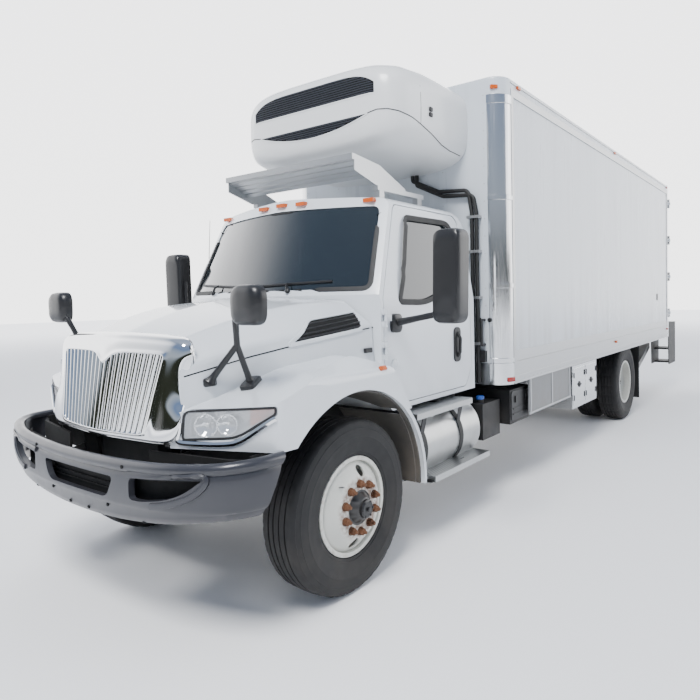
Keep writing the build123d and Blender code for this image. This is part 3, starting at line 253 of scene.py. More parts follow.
def unit_white():
    """The cooling unit's moulded white skin."""
    finish = Finish("unit moulded white", (0.68, 0.69, 0.69), 0.3, coat_weight=0.3, coat_roughness=0.1)
    streaks = finish.noise(8.0, 4.0, (1.0, 1.0, 0.15))
    finish.tint(streaks.rise(0.55, 0.85) * 0.18, (0.55, 0.54, 0.52))
    return finish


def wheel_paint():
    """The wheels' white enamel with rust round the nuts and a black hub."""
    finish = Finish("wheel white enamel", (0.60, 0.60, 0.55), 0.4, coat_weight=0.2)
    x, _, z = finish.xyz()
    rust = finish.noise(38.0, 5.0)
    for axle in (FRONT_AXLE.x, REAR_AXLE.x):
        near = (x - axle).size() < 0.4
        dx = x - axle
        dz = z - FRONT_AXLE.z
        radius = (dx * dx + dz * dz) ** 0.5
        ring = near * (radius > 0.104) * (1 - radius.rise(0.158, 0.205)) * rust.rise(0.35, 0.62)
        finish.tint(ring * 0.75, (0.19, 0.075, 0.03))
        finish.tint(near * (radius < 0.104), (0.025, 0.024, 0.023))
        edge = near * radius.rise(0.26, 0.30) * rust.rise(0.4, 0.7)
        finish.tint(edge * 0.5, (0.22, 0.16, 0.11))
    return finish


def plain(name, color, rough, metal=0.0, dirt=0.0, top=1.2, **more):
    """A plain finish with a little cloudiness, and road dirt where asked."""
    finish = Finish(name, color, rough, metal, **more)
    clouds = finish.noise(14.0, 4.0)
    finish.put("Roughness", clouds * 0.16 + (rough - 0.08))
    if dirt:
        road_dirt(finish, top, dirt)
    return finish


def brushed(name, color, rough, grain, dirt=0.0):
    """Metal with a fine grain; grain stretches the noise along the polishing direction."""
    finish = Finish(name, color, rough, 1.0)
    lines = finish.noise(120.0, 2.0, grain)
    finish.put("Roughness", lines * 0.22 + (rough - 0.1))
    finish.bump(lines, 0.0004, 0.4)
    if dirt:
        road_dirt(finish, 1.2, dirt)
    return finish


def step_tread():
    """The steps' aluminium, pressed with rows of small raised grips."""
    finish = Finish("step tread aluminium", (0.46, 0.47, 0.47), 0.36, 1.0)
    x, y, z = finish.xyz()
    rows = (x * 224.0).wave() * (y * 165.0).wave()
    on_top = 1 - ((z - 0.965).size() > 0.004) * ((z - 0.488).size() > 0.004)
    finish.tint(rows.rise(0.1, 0.6) * on_top * 0.75, (0.10, 0.11, 0.13))
    finish.bump(rows.rise(0.0, 0.6) * on_top, 0.003, 0.6)
    return finish


def glass_pane():
    """Tinted safety glass."""
    finish = Finish("tinted glass", (0.012, 0.018, 0.022), 0.03, coat_weight=1.0, coat_roughness=0.02)
    finish.put("Alpha", 0.90)
    finish.material.surface_render_method = "BLENDED"
    return finish


def floor_finish():
    """The pale floor, brightening into the pale backdrop away from the truck."""
    finish = Finish("pale floor", (0.93, 0.93, 0.93), 0.85)
    x, y, _ = finish.xyz()
    away = ((x * x + y * y) ** 0.5).rise(8.0, 40.0)
    finish.put("Emission Color", finish.blend(away, (0.0, 0.0, 0.0, 1.0), (1.0, 1.0, 1.0, 1.0)))
    finish.put("Emission Strength", 1.7)
    return finish


def make_finishes():
    """Every finish by its short name."""
    return {
        "white": white_paint(),
        "panel": panel_white(),
        "unit": unit_white(),
        "wheel": wheel_paint(),
        "glass": glass_pane(),
        "tyre": plain("tyre rubber", (0.009, 0.009, 0.0095), 0.75, dirt=0.08, top=0.9),
        "rubber": plain("black rubber", (0.007, 0.007, 0.007), 0.6),
        "black": plain("black moulding", (0.008, 0.008, 0.009), 0.45),
        "gloss_black": plain("mirror shell black", (0.007, 0.007, 0.008), 0.38, coat_weight=0.15),
        "chassis": plain("chassis black", (0.009, 0.009, 0.0095), 0.6, dirt=0.12),
        "cast": plain("oily cast iron", (0.016, 0.014, 0.012), 0.65, 0.2, dirt=0.25),
        "bumper": plain(
            "bumper grey", (0.030, 0.031, 0.038), 0.34, 0.15, dirt=0.12, top=0.9, coat_weight=0.25
        ),
        "liner": plain("dirty liner", (0.075, 0.070, 0.062), 0.6, dirt=0.5, top=1.3),
        # Near-black: painted shade behind the grille, the bumper, the bonnet vents and the unit's grilles,
        # and the own colour of the bumper bolts, bonnet seams and arm covers.
        "dark": plain("painted shade and black trim", (0.003, 0.003, 0.003), 0.9),
        "chrome": Finish("bright chrome", (0.80, 0.81, 0.82), 0.05, 1.0),
        "mirror": Finish("silvered glass", (0.88, 0.9, 0.92), 0.01, 1.0),
        "aluminium": brushed("brushed aluminium", (0.46, 0.47, 0.48), 0.34, (0.05, 1.0, 1.0)),
        "tread": step_tread(),
        "tank": brushed("tank aluminium", (0.50, 0.51, 0.51), 0.34, (1.0, 0.03, 0.03), 0.2),
        "stainless": brushed("polished stainless", (0.72, 0.73, 0.74), 0.16, (1.0, 1.0, 0.04)),
        "steel": brushed("dull steel", (0.40, 0.40, 0.40), 0.42, (1.0, 0.1, 1.0), 0.3),
        "exhaust": brushed("heat marked steel", (0.30, 0.27, 0.24), 0.45, (0.1, 1.0, 1.0), 0.4),
        "rust": plain("rusty steel", (0.13, 0.055, 0.025), 0.75, 0.2),
        "slate": plain("slate grille", (0.012, 0.016, 0.026), 0.45),
        "skirt": plain("grey skirt", (0.20, 0.205, 0.21), 0.45, dirt=0.5),
        "dash": plain("cab trim grey", (0.10, 0.10, 0.105), 0.6),
        "cloth": plain("seat cloth", (0.055, 0.06, 0.075), 0.85),
        "lens": Finish("clear lens", (0.80, 0.83, 0.85), 0.06, coat_weight=1.0, alpha=0.35),
        "amber": Finish("amber lens", (0.52, 0.085, 0.004), 0.2, coat_weight=0.3),
        "red": Finish("red lens", (0.30, 0.006, 0.006), 0.2, coat_weight=0.3),
        "white_lens": Finish("white lens", (0.82, 0.82, 0.80), 0.15, coat_weight=0.8),
        "blue": plain("blue cap", (0.02, 0.08, 0.35), 0.4),
        "floor": floor_finish(),
    }


FINISHES = make_finishes()

# Which finish each frame node wears
DRESS = {
    "white": "cab_shell door_left door_right hood",
    "panel": "box_walls box_roof rear_door_left rear_door_right",
    "unit": "cooling_unit",
    "wheel": "wheel_front_left wheel_front_right wheels_rear_left wheels_rear_right",
    "glass": "cab_glass door_glass_left door_glass_right",
    "tyre": "tyre_front_left tyre_front_right tyres_rear_left tyres_rear_right",
    "gloss_black": "mirror_left mirror_right hood_mirrors",
    "liner": "hood_liners cab_liners",
    "chassis": "frame_rails crossmembers floor_bearers step_hangers rear_steps liftgate_arms side_gear",
    "cast": "front_axle rear_axle engine knuckle_left knuckle_right tie_rod",
    "bumper": "bumper",
    "chrome": "grille",
    "aluminium": "roof_rack sill_rails box_floor",
    "tread": "cab_steps",
    "tank": "fuel_tank",
    "stainless": "corner_posts steel_cabinet rear_frame",
    "steel": "liftgate_platform",
    "exhaust": "exhaust",
    "slate": "unit_louvres",
    "skirt": "side_skirts",
    "dash": "dashboard",
    "cloth": "seats",
    "lens": "headlights",
    "amber": "marker_lamps",
    "rubber": "mud_flaps wall_hoses",
}


def dress_frame():
    """Gives every frame node its finish."""
    for finish, nodes in DRESS.items():
        for node in nodes.split():
            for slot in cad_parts[node].material_slots:
                slot.link = "OBJECT"
                slot.material = FINISHES[finish].material


# Shapes


class Form:
    """A mesh gathered from simple solids, in the frame's coordinates."""

    def __init__(self):
        self.points = []
        self.faces = []

    def add(self, points, faces):
        start = len(self.points)
        self.points += [Vector(point) for point in points]
        self.faces += [tuple(start + index for index in face) for face in faces]
        return self

    def prism(self, outline, along):
        """A flat outline carried along a vector."""
        count = len(outline)
        points = [Vector(point) for point in outline]
        points += [point + Vector(along) for point in points]
        faces = [tuple(reversed(range(count))), tuple(range(count, 2 * count))]
        faces += [(i, (i + 1) % count, (i + 1) % count + count, i + count) for i in range(count)]
        return self.add(points, faces)

    def box(self, low, high):
        (x0, y0, z0), (x1, y1, z1) = low, high
        return self.prism([(x0, y0, z0), (x1, y0, z0), (x1, y1, z0), (x0, y1, z0)], (0, 0, z1 - z0))

    def rings(self, rings, closed=False, caps=True):
        """Joins rings of points, each as long as the first."""
        count = len(rings[0])
        points = [point for ring in rings for point in ring]
        faces = []
        steps = len(rings) if closed else len(rings) - 1
        for row in range(steps):
            near, far = row * count, (row + 1) % len(rings) * count
            faces += [
                (near + i, near + (i + 1) % count, far + (i + 1) % count, far + i)
                for i in range(count)
            ]
        if caps and not closed:
            faces += [tuple(reversed(range(count))), tuple(range(len(points) - count, len(points)))]
        return self.add(points, faces)

    def tube(self, path, radius, sides=10, closed=False):
        """A round bar bent through points; radius may differ at each."""
        path = [Vector(point) for point in path]
        radii = radius if isinstance(radius, (list, tuple)) else [radius] * len(path)
        side = None
        rings = []
        for index, point in enumerate(path):
            before = path[index - 1] if index or closed else path[0]
            after = path[(index + 1) % len(path)] if index + 1 < len(path) or closed else path[-1]
            run = (after - before).normalized()
            if side is None:
                side = run.orthogonal()
            side = (side - run * side.dot(run)).normalized()
            up = run.cross(side)
            turns = [2 * math.pi * step / sides for step in range(sides)]
            rings.append([point + (side * math.cos(t) + up * math.sin(t)) * radii[index] for t in turns])
        return self.rings(rings, closed)

    def rod(self, start, end, radius, sides=16):
        return self.tube([start, end], radius, sides)

    def turn(self, profile, centre, axis, sides=48, closed=False):
        """A profile of (along the axis, radius) turned about an axis through centre."""
        axis = Vector(axis).normalized()
        side = axis.orthogonal().normalized()
        up = axis.cross(side)
        rings = []
        for step in range(sides):
            angle = 2 * math.pi * step / sides
            out = side * math.cos(angle) + up * math.sin(angle)
            rings.append([Vector(centre) + axis * along + out * radius for along, radius in profile])
        count = len(profile)
        points = [point for ring in rings for point in ring]
        faces = []
        last = count if closed else count - 1
        for row in range(sides):
            near, far = row * count, (row + 1) % sides * count
            faces += [(near + i, far + i, far + (i + 1) % count, near + (i + 1) % count) for i in range(last)]
        return self.add(points, faces)

    def ball(self, centre, radius, flat=1.0, axis=(0, 0, 1)):
        """A dome or flattened ball."""
        rows = 8
        angles = [math.pi * row / rows for row in range(rows + 1)]
        profile = [(-radius * flat * math.cos(a), max(radius * math.sin(a), 0.00005)) for a in angles]
        return self.turn(profile, centre, axis, 16)

    def twin(self):
        """Adds the same shapes on the truck's other side."""
        points = [Vector((p.x, -p.y, p.z)) for p in self.points]
        return self.add(points, [tuple(reversed(face)) for face in self.faces])

    def done(self, name, body, finish, slot, bevel=0.0, smooth=35.0, tidy=True):
        """Makes the piece and lets it ride on its body; slot is not used."""
        mesh = bpy.data.meshes.new(name)
        mesh.from_pydata(self.points, [], self.faces)
        mesh.validate()
        piece = bpy.data.objects.new(name, mesh)
        bpy.context.scene.collection.objects.link(piece)
        mesh.materials.append(FINISHES[finish].material)
        if tidy:
            face_outwards(mesh)
        if bevel:
            round_over = piece.modifiers.new("edges", "BEVEL")
            round_over.width = bevel
            round_over.segments = 2
            round_over.limit_method = "ANGLE"
            round_over.angle_limit = math.radians(40)
            round_over.harden_normals = True
        for face in mesh.polygons:
            face.use_smooth = True
        mesh.set_sharp_from_angle(angle=math.radians(smooth))
        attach(piece, body)
        return piece


def face_outwards(mesh):
    """Turns every face of a mesh to look outwards."""
    work = bmesh.new()
    work.from_mesh(mesh)
    bmesh.ops.recalc_face_normals(work, faces=work.faces)
    work.to_mesh(mesh)
    work.free()


def skin(*nodes):
    """A search tree over the frame's surfaces, to lay trim on them."""
    points, faces = [], []
    for node in nodes:
        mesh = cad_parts[node].data
        start = len(points)
        points += [vertex.co.copy() for vertex in mesh.vertices]
        faces += [tuple(start + index for index in face.vertices) for face in mesh.polygons]
    return BVHTree.FromPolygons(points, faces)


def laid(tree, start, direction, lift=0.0):
    """Where a line from start, or one just beside it, first meets the surface, lifted off it."""
    aim = Vector(direction).normalized()
    side = aim.orthogonal().normalized() * 0.007
    up = aim.cross(side)
    for nudge in (
        Vector(), side, -side, up, -up, (side + up) * 2, (side - up) * 2, (up - side) * 2, -(side + up) * 2
    ):
        hit, normal, _, _ = tree.ray_cast(Vector(start) + nudge, aim)
        if hit is not None:
            break
    if hit is None:
        raise RuntimeError(f"no surface under {tuple(round(v, 3) for v in start)}")
    if normal.dot(aim) > 0:
        normal = -normal
    return hit - nudge + normal * lift, normal


def strip(form, points, normals, half, height):
    """A raised band along points that lie on a surface."""
    rings = []
    for index, point in enumerate(points):
        before = points[max(index - 1, 0)]
        after = points[min(index + 1, len(points) - 1)]
        run = (after - before).normalized()
        up = normals[index]
        side = run.cross(up).normalized()
        corners = ((-half, -0.004), (-half * 0.8, height), (half * 0.8, height), (half, -0.004))
        rings.append([point + side * across + up * lift for across, lift in corners])
    return form.rings(rings)


def seam(form, tree, starts, direction, half=0.004, height=0.003):
    """A band laid on a surface under a row of starting points."""
    found = [laid(tree, start, direction) for start in starts]
    return strip(form, [point for point, _ in found], [normal for _, normal in found], half, height)


def rounded(corners, steps=6):
    """A closed outline from rows of (first, second, corner radius)."""
    outline = []
    for index, (a, b, radius) in enumerate(corners):
        here = Vector((a, b))
        back = Vector(corners[index - 1][:2]) - here
        onward = Vector(corners[(index + 1) % len(corners)][:2]) - here
        reach = min(radius, back.length * 0.45, onward.length * 0.45)
        start = here + back.normalized() * reach
        end = here + onward.normalized() * reach
        for step in range(steps + 1):
            t = step / steps
            outline.append(start * (1 - t) ** 2 + here * 2 * t * (1 - t) + end * t * t)
    return outline


def spaced(points, gap, closed=True):
    """The same line with its points no further apart than gap."""
    line = []
    pairs = len(points) if closed else len(points) - 1
    for index in range(pairs):
        start, end = points[index], points[(index + 1) % len(points)]
        if (end - start).length < 1e-6:
            continue
        count = max(1, math.ceil((end - start).length / gap))
        line += [start.lerp(end, step / count) for step in range(count)]
    if not closed:
        line.append(points[-1])
    return line


def both_ways(rows):
    """Rows of (across, up, radius) completed with their mirror image."""
    return rows + [(-across, up, radius) for across, up, radius in reversed(rows) if across != 0]


def band(form, tree, starts, direction, half, height, closed=True, facing=None):
    """A rounded band laid on a surface under a row of starting points; facing overrides its normals."""
    found = [laid(tree, start, direction) for start in starts]
    rings = []
    count = len(found)
    if facing:
        outward = [point.dot(facing) for point, _ in found]
        levels = [max(outward[(index + near) % count] for near in range(-3, 4)) for index in range(count)]
        found = [
            (point + facing * (level - out), facing) for (point, _), level, out in zip(found, levels, outward)
        ]
    for index, (point, up) in enumerate(found):
        before = found[index - 1][0] if index or closed else point
        after = found[(index + 1) % count][0] if index + 1 < count or closed else point
        run = (after - before).normalized()
        side = run.cross(up).normalized()
        corners = (
            (-half, -0.003), (-half * 0.85, height * 0.7), (0, height), (half * 0.85, height * 0.7),
            (half, -0.003)
        )
        rings.append([point + side * across + up * lift for across, lift in corners])
    return form.rings(rings, closed)


def studs(form, places, axis, radius, height, sides=8):
    """A dome head at each place."""
    profile = [(-0.001, radius), (height * 0.55, radius * 0.8), (height, radius * 0.25), (height, 0.0001)]
    for place in places:
        form.turn(profile, place, axis, sides)
    return form


def steps_between(start, end, gap):
    """Evenly spaced numbers from start to end, about gap apart."""
    count = max(1, round(abs(end - start) / gap))
    return [start + (end - start) * step / count for step in range(count + 1)]


def patch(form, tree, corners, direction, lift=0.003, columns=8, rows=3):
    """A thin sheet laid on a surface between four starting corners, in order round it."""
    first, second, third, fourth = [Vector(corner) for corner in corners]
    points = []
    for row in range(rows + 1):
        for column in range(columns + 1):
            near = first.lerp(second, column / columns)
            far = fourth.lerp(third, column / columns)
            points.append(laid(tree, near.lerp(far, row / rows), direction, lift)[0])
    wide = columns + 1
    faces = [
        (row * wide + i, row * wide + i + 1, (row + 1) * wide + i + 1, (row + 1) * wide + i)
        for row in range(rows)
        for i in range(columns)
    ]
    return form.add(points, faces)


def lamp_pad(form, place, out, across, wide, high, deep):
    """A small rounded block standing on a surface: out of it, and across it, are unit vectors."""
    out, across = Vector(out), Vector(across)
    up = out.cross(across)
    edge = rounded(
        [
            (-wide, -high, high * 0.6), (wide, -high, high * 0.6), (wide, high, high * 0.6),
            (-wide, high, high * 0.6)
        ],
        4
    )
    base = [Vector(place) + across * p.x + up * p.y - out * 0.003 for p in edge]
    rim = [point + out * (deep * 0.7 + 0.003) for point in base]
    crown = [Vector(place) + out * deep + across * p.x * 0.8 + up * p.y * 0.8 for p in edge]
    return form.rings([base, rim, crown])


# Wheels and tyres


class TruckWheels(bpy.types.PropertyGroup):
    """The tyres' tread and the wheels' fastenings."""

    tread_depth: FloatProperty(
        name="Tread depth",
        description="How deep the tread's grooves are",
        default=0.013,
        min=0.0,
        unit="LENGTH",
    )
    groove: FloatProperty(
        name="Groove", description="How wide a groove is", default=0.011, min=0.001, unit="LENGTH"
    )
    turns: IntProperty(name="Turns", description="Facets round a tyre", default=144, min=36)
    nut_ring: FloatProperty(
        name="Nut ring", description="Radius of the ring of nuts", default=0.142875, unit="LENGTH"
    )
    nuts: IntProperty(name="Nuts", description="Nuts on each wheel", default=10, min=4)


# From the bead to the tread's edge: (across from the tyre's middle, radius)
SIDEWALL = (
    (0.104, 0.2870),
    (0.108, 0.3030),
    (0.1150, 0.3060),
    (0.1185, 0.3210),
    (0.1225, 0.3240),
    (0.1245, 0.3380),
    (0.1305, 0.3640),
    (0.1350, 0.3880),
    (0.1375, 0.4100),
    (0.1385, 0.4120),
    (0.1388, 0.4180),
    (0.1375, 0.4200),
    (0.1365, 0.4420),
    (0.1335, 0.4640),
    (0.1345, 0.4660),
    (0.1335, 0.4700),
    (0.1315, 0.4715),
    (0.1275, 0.4880),
    (0.1235, 0.5000),
    (0.1245, 0.5015),
    (0.1180, 0.5110),
    (0.1060, 0.5180),
    (0.0960, 0.5205),
)
RIB_EDGES = (0.062, 0.0215)


def tyre_rows(look):
    """The whole section from bead to bead, with the tread's long grooves."""
    half = list(SIDEWALL)
    crown = FRONT_AXLE.z
    for edge in RIB_EDGES:
        level = crown - 0.9 * edge**2
        wide, deep = look.groove / 2, look.tread_depth
        half += [(edge + wide, level), (edge + wide * 0.6, level - deep), (edge - wide * 0.6, level - deep)]
        half += [(edge - wide, level)]
    return half + [(-across, radius) for across, radius in reversed(half)]


def tyre(form, look, centre, lugs):
    """One tyre; lugs cuts cross grooves through its shoulders and ribs."""
    rows = tyre_rows(look)
    rings = []
    for step in range(look.turns):
        angle = 2 * math.pi * step / look.turns
        cut = step % (6 if lugs else 4) == 0
        ring = []
        for across, radius in rows:
            shoulder = 0.068 < abs(across) < 0.13 and radius > 0.49
            rib = abs(across) < 0.057 and radius > 0.515
            if cut and (shoulder or (rib and lugs)):
                radius -= look.tread_depth * (0.75 if lugs else 0.3)
            ring.append(centre + Vector((radius * math.cos(angle), across, radius * math.sin(angle))))
        rings.append(ring)
    return form.rings([list(reversed(ring)) for ring in rings], closed=True)


class TRUCK_OT_tyres(bpy.types.Operator):
    """Puts treaded tyres in place of the plain ones"""

    bl_idname = "truck.tyres"
    bl_label = "Tyres"

    def execute(self, context):
        look = context.scene.truck_wheels
        for node, body in (
            ("tyre_front_left", "front_wheel_left"),
            ("tyre_front_right", "front_wheel_right"),
            ("tyres_rear_left", "rear_wheels_left"),
            ("tyres_rear_right", "rear_wheels_right"),
        ):
            low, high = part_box(node)
            centre = (low + high) / 2
            form = Form()
            if "front" in node:
                tyre(form, look, centre, False)
            else:
                width = TYRE_HIGH.y - TYRE_LOW.y
                tyre(form, look, Vector((centre.x, low.y + width / 2, centre.z)), True)
                tyre(form, look, Vector((centre.x, high.y - width / 2, centre.z)), True)
            piece = form.done("treaded_" + node, body, "tyre", "tyre", smooth=28.0)
            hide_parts(node)
        return {"FINISHED"}


class TRUCK_OT_nuts(bpy.types.Operator):
    """Adds the rusty wheel nuts, the hub caps and the valves"""

    bl_idname = "truck.nuts"
    bl_label = "Wheel nuts and hubs"

    # wheel body, its node, the disc's face and the hub's end, outwards from the middle
    wheels = (
        ("front_wheel_left", "wheel_front_left", 1.162, 1.205, 1),
        ("front_wheel_right", "wheel_front_right", 1.162, 1.205, -1),
        ("rear_wheels_left", "wheels_rear_left", 0.884, 1.062, 1),
        ("rear_wheels_right", "wheels_rear_right", 0.884, 1.062, -1),
    )

    def execute(self, context):
        look = context.scene.truck_wheels
        for body, node, face, hub, side in self.wheels:
            centre = middle(node)
            out = Vector((0, side, 0))
            nuts = Form()
            for index in range(look.nuts):
                angle = 2 * math.pi * (index + 0.5) / look.nuts
                spoke = Vector((math.cos(angle), 0, math.sin(angle)))
                place = Vector((centre.x, side * face, FRONT_AXLE.z)) + spoke * look.nut_ring
                nuts.turn([(0, 0.0001), (0, 0.026), (0.005, 0.026), (0.006, 0.0235)], place, out, 18)
                nuts.turn(
                    [(0.005, 0.0225), (0.027, 0.0215), (0.032, 0.013), (0.048, 0.010), (0.049, 0.0001)],
                    place, out, 6
                )
            nuts.done(f"{node}_nuts", body, "rust", "wheel_white", smooth=25)
            cap = Form()
            axle = Vector((centre.x, side * hub, FRONT_AXLE.z))
            radius = 0.056 if "front" in node else 0.045
            profile = [
                (-0.004, 0.0001), (-0.004, radius), (0.014, radius * 0.97), (0.020, radius * 0.8),
                (0.021, 0.0001)
            ]
            cap.turn(profile, axle, out, 28)
            for index in range(6):
                angle = math.pi * index / 3
                spoke = Vector((math.cos(angle), 0, math.sin(angle)))
                cap.turn(
                    [(0.010, 0.006), (0.024, 0.006), (0.024, 0.0001)], axle + spoke * radius * 0.82, out, 6
                )
            cap.turn([(0.02, 0.014), (0.032, 0.012), (0.034, 0.0001)], axle, out, 6)
            cap.done(f"{node}_hub_cap", body, "gloss_black", "wheel_white", smooth=25)
            valve = Form()
            root = Vector((centre.x + 0.16, side * (face - 0.02), FRONT_AXLE.z + 0.16))
            valve.rod(root, root + out * 0.05 + Vector((0.012, 0, 0.012)), 0.005, 8)
            valve.done(f"{node}_valve", body, "steel", "wheel_white")
        return {"FINISHED"}


# Cab


class TruckCab(bpy.types.PropertyGroup):
    """The cab's seals and trim."""

    seal: FloatProperty(
        name="Seal", description="Half the width of a window's rubber", default=0.016, unit="LENGTH"
    )
    seal_height: FloatProperty(
        name="Seal height", description="How far the rubber stands out", default=0.006, unit="LENGTH"
    )


# Ahead of the front axle and up, with corner radii, as the frame's door is cut
DOOR_WINDOW = (
    (-0.668, 1.745, 0.04),
    (-0.872, 2.362, 0.06),
    (-1.500, 2.372, 0.09),
    (-1.560, 1.860, 0.12),
    (-1.240, 1.800, 0.20),
    (-1.000, 1.735, 0.20),
)
SCREEN = ((0.940, 1.840, 0.06), (0.850, 2.430, 0.06), (0.0, 2.455, 0.5))
REAR_WINDOW = ((0.620, 1.900, 0.06), (0.600, 2.300, 0.06))


class TRUCK_OT_window_seals(bpy.types.Operator):
    """Lays the black rubber round the windscreen, the rear window and the door windows"""

    bl_idname = "truck.window_seals"
    bl_label = "Window seals"

    def execute(self, context):
        look = context.scene.truck_cab
        cab = skin("cab_shell", "cab_glass")
        outline = spaced(rounded(both_ways(list(SCREEN))), 0.05)
        screen = Form()
        starts = [ahead(1.2, point.x, point.y) for point in outline]
        band(screen, cab, starts, (-1, 0, 0), look.seal * 1.2, look.seal_height)
        screen.done("windscreen_seal", "chassis", "rubber", "rubber")
        rear = Form()
        starts = [
            ahead(-2.5, point.x, point.y)
            for point in spaced(rounded(both_ways(list(REAR_WINDOW))), 0.06)
        ]
        behind = BVHTree.FromPolygons(
            [ahead(-1.75, y, z) for y, z in ((-1, 1), (1, 1), (1, 3), (-1, 3))], [(0, 1, 2, 3)]
        )
        band(rear, behind, starts, (1, 0, 0), look.seal, look.seal_height)
        rear.done("rear_window_seal", "chassis", "rubber", "rubber")
        for side, name in ((1, "left"), (-1, "right")):
            door = skin("door_" + name, "door_glass_" + name)
            outline = spaced(rounded(DOOR_WINDOW), 0.05)
            starts = [ahead(point.x, side * 1.6, point.y) for point in outline]
            seal = Form()
            band(
                seal, door, starts, (0, -side, 0), look.seal * 1.4, look.seal_height,
                facing=Vector((0, side, 0))
            )
            seal.done(f"door_window_seal_{name}", "cab_door_" + name, "rubber", "rubber")
        return {"FINISHED"}


class TRUCK_OT_door_trim(bpy.types.Operator):
    """Adds the door pulls"""

    bl_idname = "truck.door_trim"
    bl_label = "Door trim"

    def execute(self, context):
        for side, name in ((1, "left"), (-1, "right")):
            body = "cab_door_" + name
            door = skin("door_" + name)
            pull = Form()
            place, _ = laid(door, ahead(-1.455, side * 1.6, 1.39), (0, -side, 0))
            outline = rounded(
                [(-0.052, -0.140, 0.05), (0.052, -0.140, 0.05), (0.052, 0.140, 0.05), (-0.052, 0.140, 0.05)]
            )
            pull.prism(
                [place + Vector((point.x, -side * 0.004, point.y)) for point in outline], (0, side * 0.014, 0)
            )
            grip = [(0, -0.10, 0.006), (0, -0.06, 0.030), (0, 0.05, 0.034), (0, 0.10, 0.006)]
            pull.tube([place + Vector((x, side * out, z)) for x, z, out in grip], 0.013, 10)
            pull.done(f"door_pull_{name}", body, "black", "mirror_black", bevel=0.003)
        return {"FINISHED"}


class TRUCK_OT_door_mirrors(bpy.types.Operator):
    """Builds the tall rounded door mirrors with their two glasses and flat arms"""

    bl_idname = "truck.door_mirrors"
    bl_label = "Door mirrors"

    def execute(self, context):
        for side, name in ((1, "left"), (-1, "right")):
            body = "cab_door_" + name
            door = skin("door_" + name)
            outline = rounded(
                [(1.345, 1.600, 0.06), (1.545, 1.600, 0.07), (1.560, 2.214, 0.07), (1.360, 2.214, 0.06)], 8
            )
            centre = sum(outline, Vector((0, 0))) / len(outline)
            rings = []
            for x, grow in (
                (-0.672, 0.965), (-0.680, 1.0), (-0.615, 1.0), (-0.580, 0.975), (-0.558, 0.90),
                (-0.548, 0.72), (-0.546, 0.30)
            ):
                ring = [p - (p - centre).normalized() * 0.10 * (1 - grow) for p in outline]
                rings.append([ahead(x, side * p.x, p.y) for p in ring])
            head = Form().rings(rings)
            place, normal = laid(door, ahead(-0.600, side * 1.6, 1.600), (0, -side, 0))
            lamp_pad(head, place, normal, (1, 0, 0), 0.055, 0.065, 0.035)
            end = ahead(-0.618, side * 1.385, 1.668)
            head.tube(
                [place, place.lerp(end, 0.12), place.lerp(end, 0.5), end], [0.030, 0.026, 0.021, 0.021], 12
            )
            head.tube(
                [place.lerp(end, 0.9) + Vector((0, 0, z)) for z in (-0.012, 0.10, 0.30)],
                [0.02, 0.018, 0.014], 10
            )
            piece = head.done(f"mirror_head_{name}", body, "gloss_black", "mirror_black", smooth=40)
            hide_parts("mirror_" + name)
            glass = Form()
            for low, high in ((1.835, 2.185), (1.628, 1.812)):
                edges = rounded(
                    [(1.372, low, 0.03), (1.535, low, 0.03), (1.540, high, 0.03), (1.377, high, 0.03)]
                )
                glass.prism([ahead(-0.676, side * p.x, p.y) for p in edges], (0.006, 0, 0))
            glass.done(f"mirror_glass_{name}", body, "mirror", "mirror_black")
        return {"FINISHED"}


# Seats


def pad(name, centre, size, lean):
    """A stuffed pad: a crowned block, swollen as cloth and capped, then smoothed."""
    work = bmesh.new()
    bmesh.ops.create_cube(work, size=2.0)
    bmesh.ops.subdivide_edges(work, edges=work.edges[:], cuts=11, use_grid_fill=True)
    turn = Matrix.Rotation(lean, 3, "Y")
    thin = min(range(3), key=lambda axis: size[axis])
    for vertex in work.verts:
        p = vertex.co
        spread = sum(abs(p[axis]) ** 7 for axis in range(3)) ** (1 / 7)
        p = p / spread
        others = [axis for axis in range(3) if axis != thin]
        for axis in others:
            other = others[1] if axis == others[0] else others[0]
            p[axis] *= 1 - 0.035 * (1 - p[other] ** 2)
        p[thin] *= 0.72 + 0.20 * (1 - p[others[0]] ** 2) * (1 - p[others[1]] ** 2)
        vertex.co = Vector(centre) + turn @ Vector(p[axis] * size[axis] / 2 for axis in range(3))
    mesh = bpy.data.meshes.new(name)
    work.to_mesh(mesh)
    work.free()
    mesh.materials.append(FINISHES["cloth"].material)
    piece = bpy.data.objects.new(name, mesh)
    bpy.context.scene.collection.objects.link(piece)
    swell(piece)
    for face in piece.data.polygons:
        face.use_smooth = True
    smoothing = piece.modifiers.new("smoothing", "SUBSURF")
    smoothing.levels = smoothing.render_levels = 1
    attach(piece, "chassis")
    return piece


def applied(piece):
    """The piece's mesh with its modifiers applied."""
    bpy.context.view_layer.update()
    return bpy.data.meshes.new_from_object(piece.evaluated_get(bpy.context.evaluated_depsgraph_get()))


def swell(piece):
    """Presses the cover outwards from inside for twenty steps, no point further than 12 mm."""
    scene = bpy.context.scene
    voxels = piece.modifiers.new("voxels", "REMESH")
    voxels.mode = "VOXEL"
    voxels.voxel_size = 0.013
    mesh = applied(piece)
    piece.modifiers.clear()
    piece.data = mesh
    start = [vertex.co.copy() for vertex in mesh.vertices]
    cloth = piece.modifiers.new("cover", "CLOTH")
    cloth.settings.use_pressure = True
    cloth.settings.uniform_pressure_force = 4.0
    cloth.settings.effector_weights.gravity = 0.0
    cloth.point_cache.frame_start = 1
    cloth.point_cache.frame_end = 20
    for step in range(1, 21):
        scene.frame_set(step)
    swollen = applied(piece)
    piece.modifiers.clear()
    for vertex, rest in zip(swollen.vertices, start):
        move = vertex.co - rest
        if move.length > 0.012:
            vertex.co = rest + move.normalized() * 0.012
    piece.data = swollen
    scene.frame_set(1)


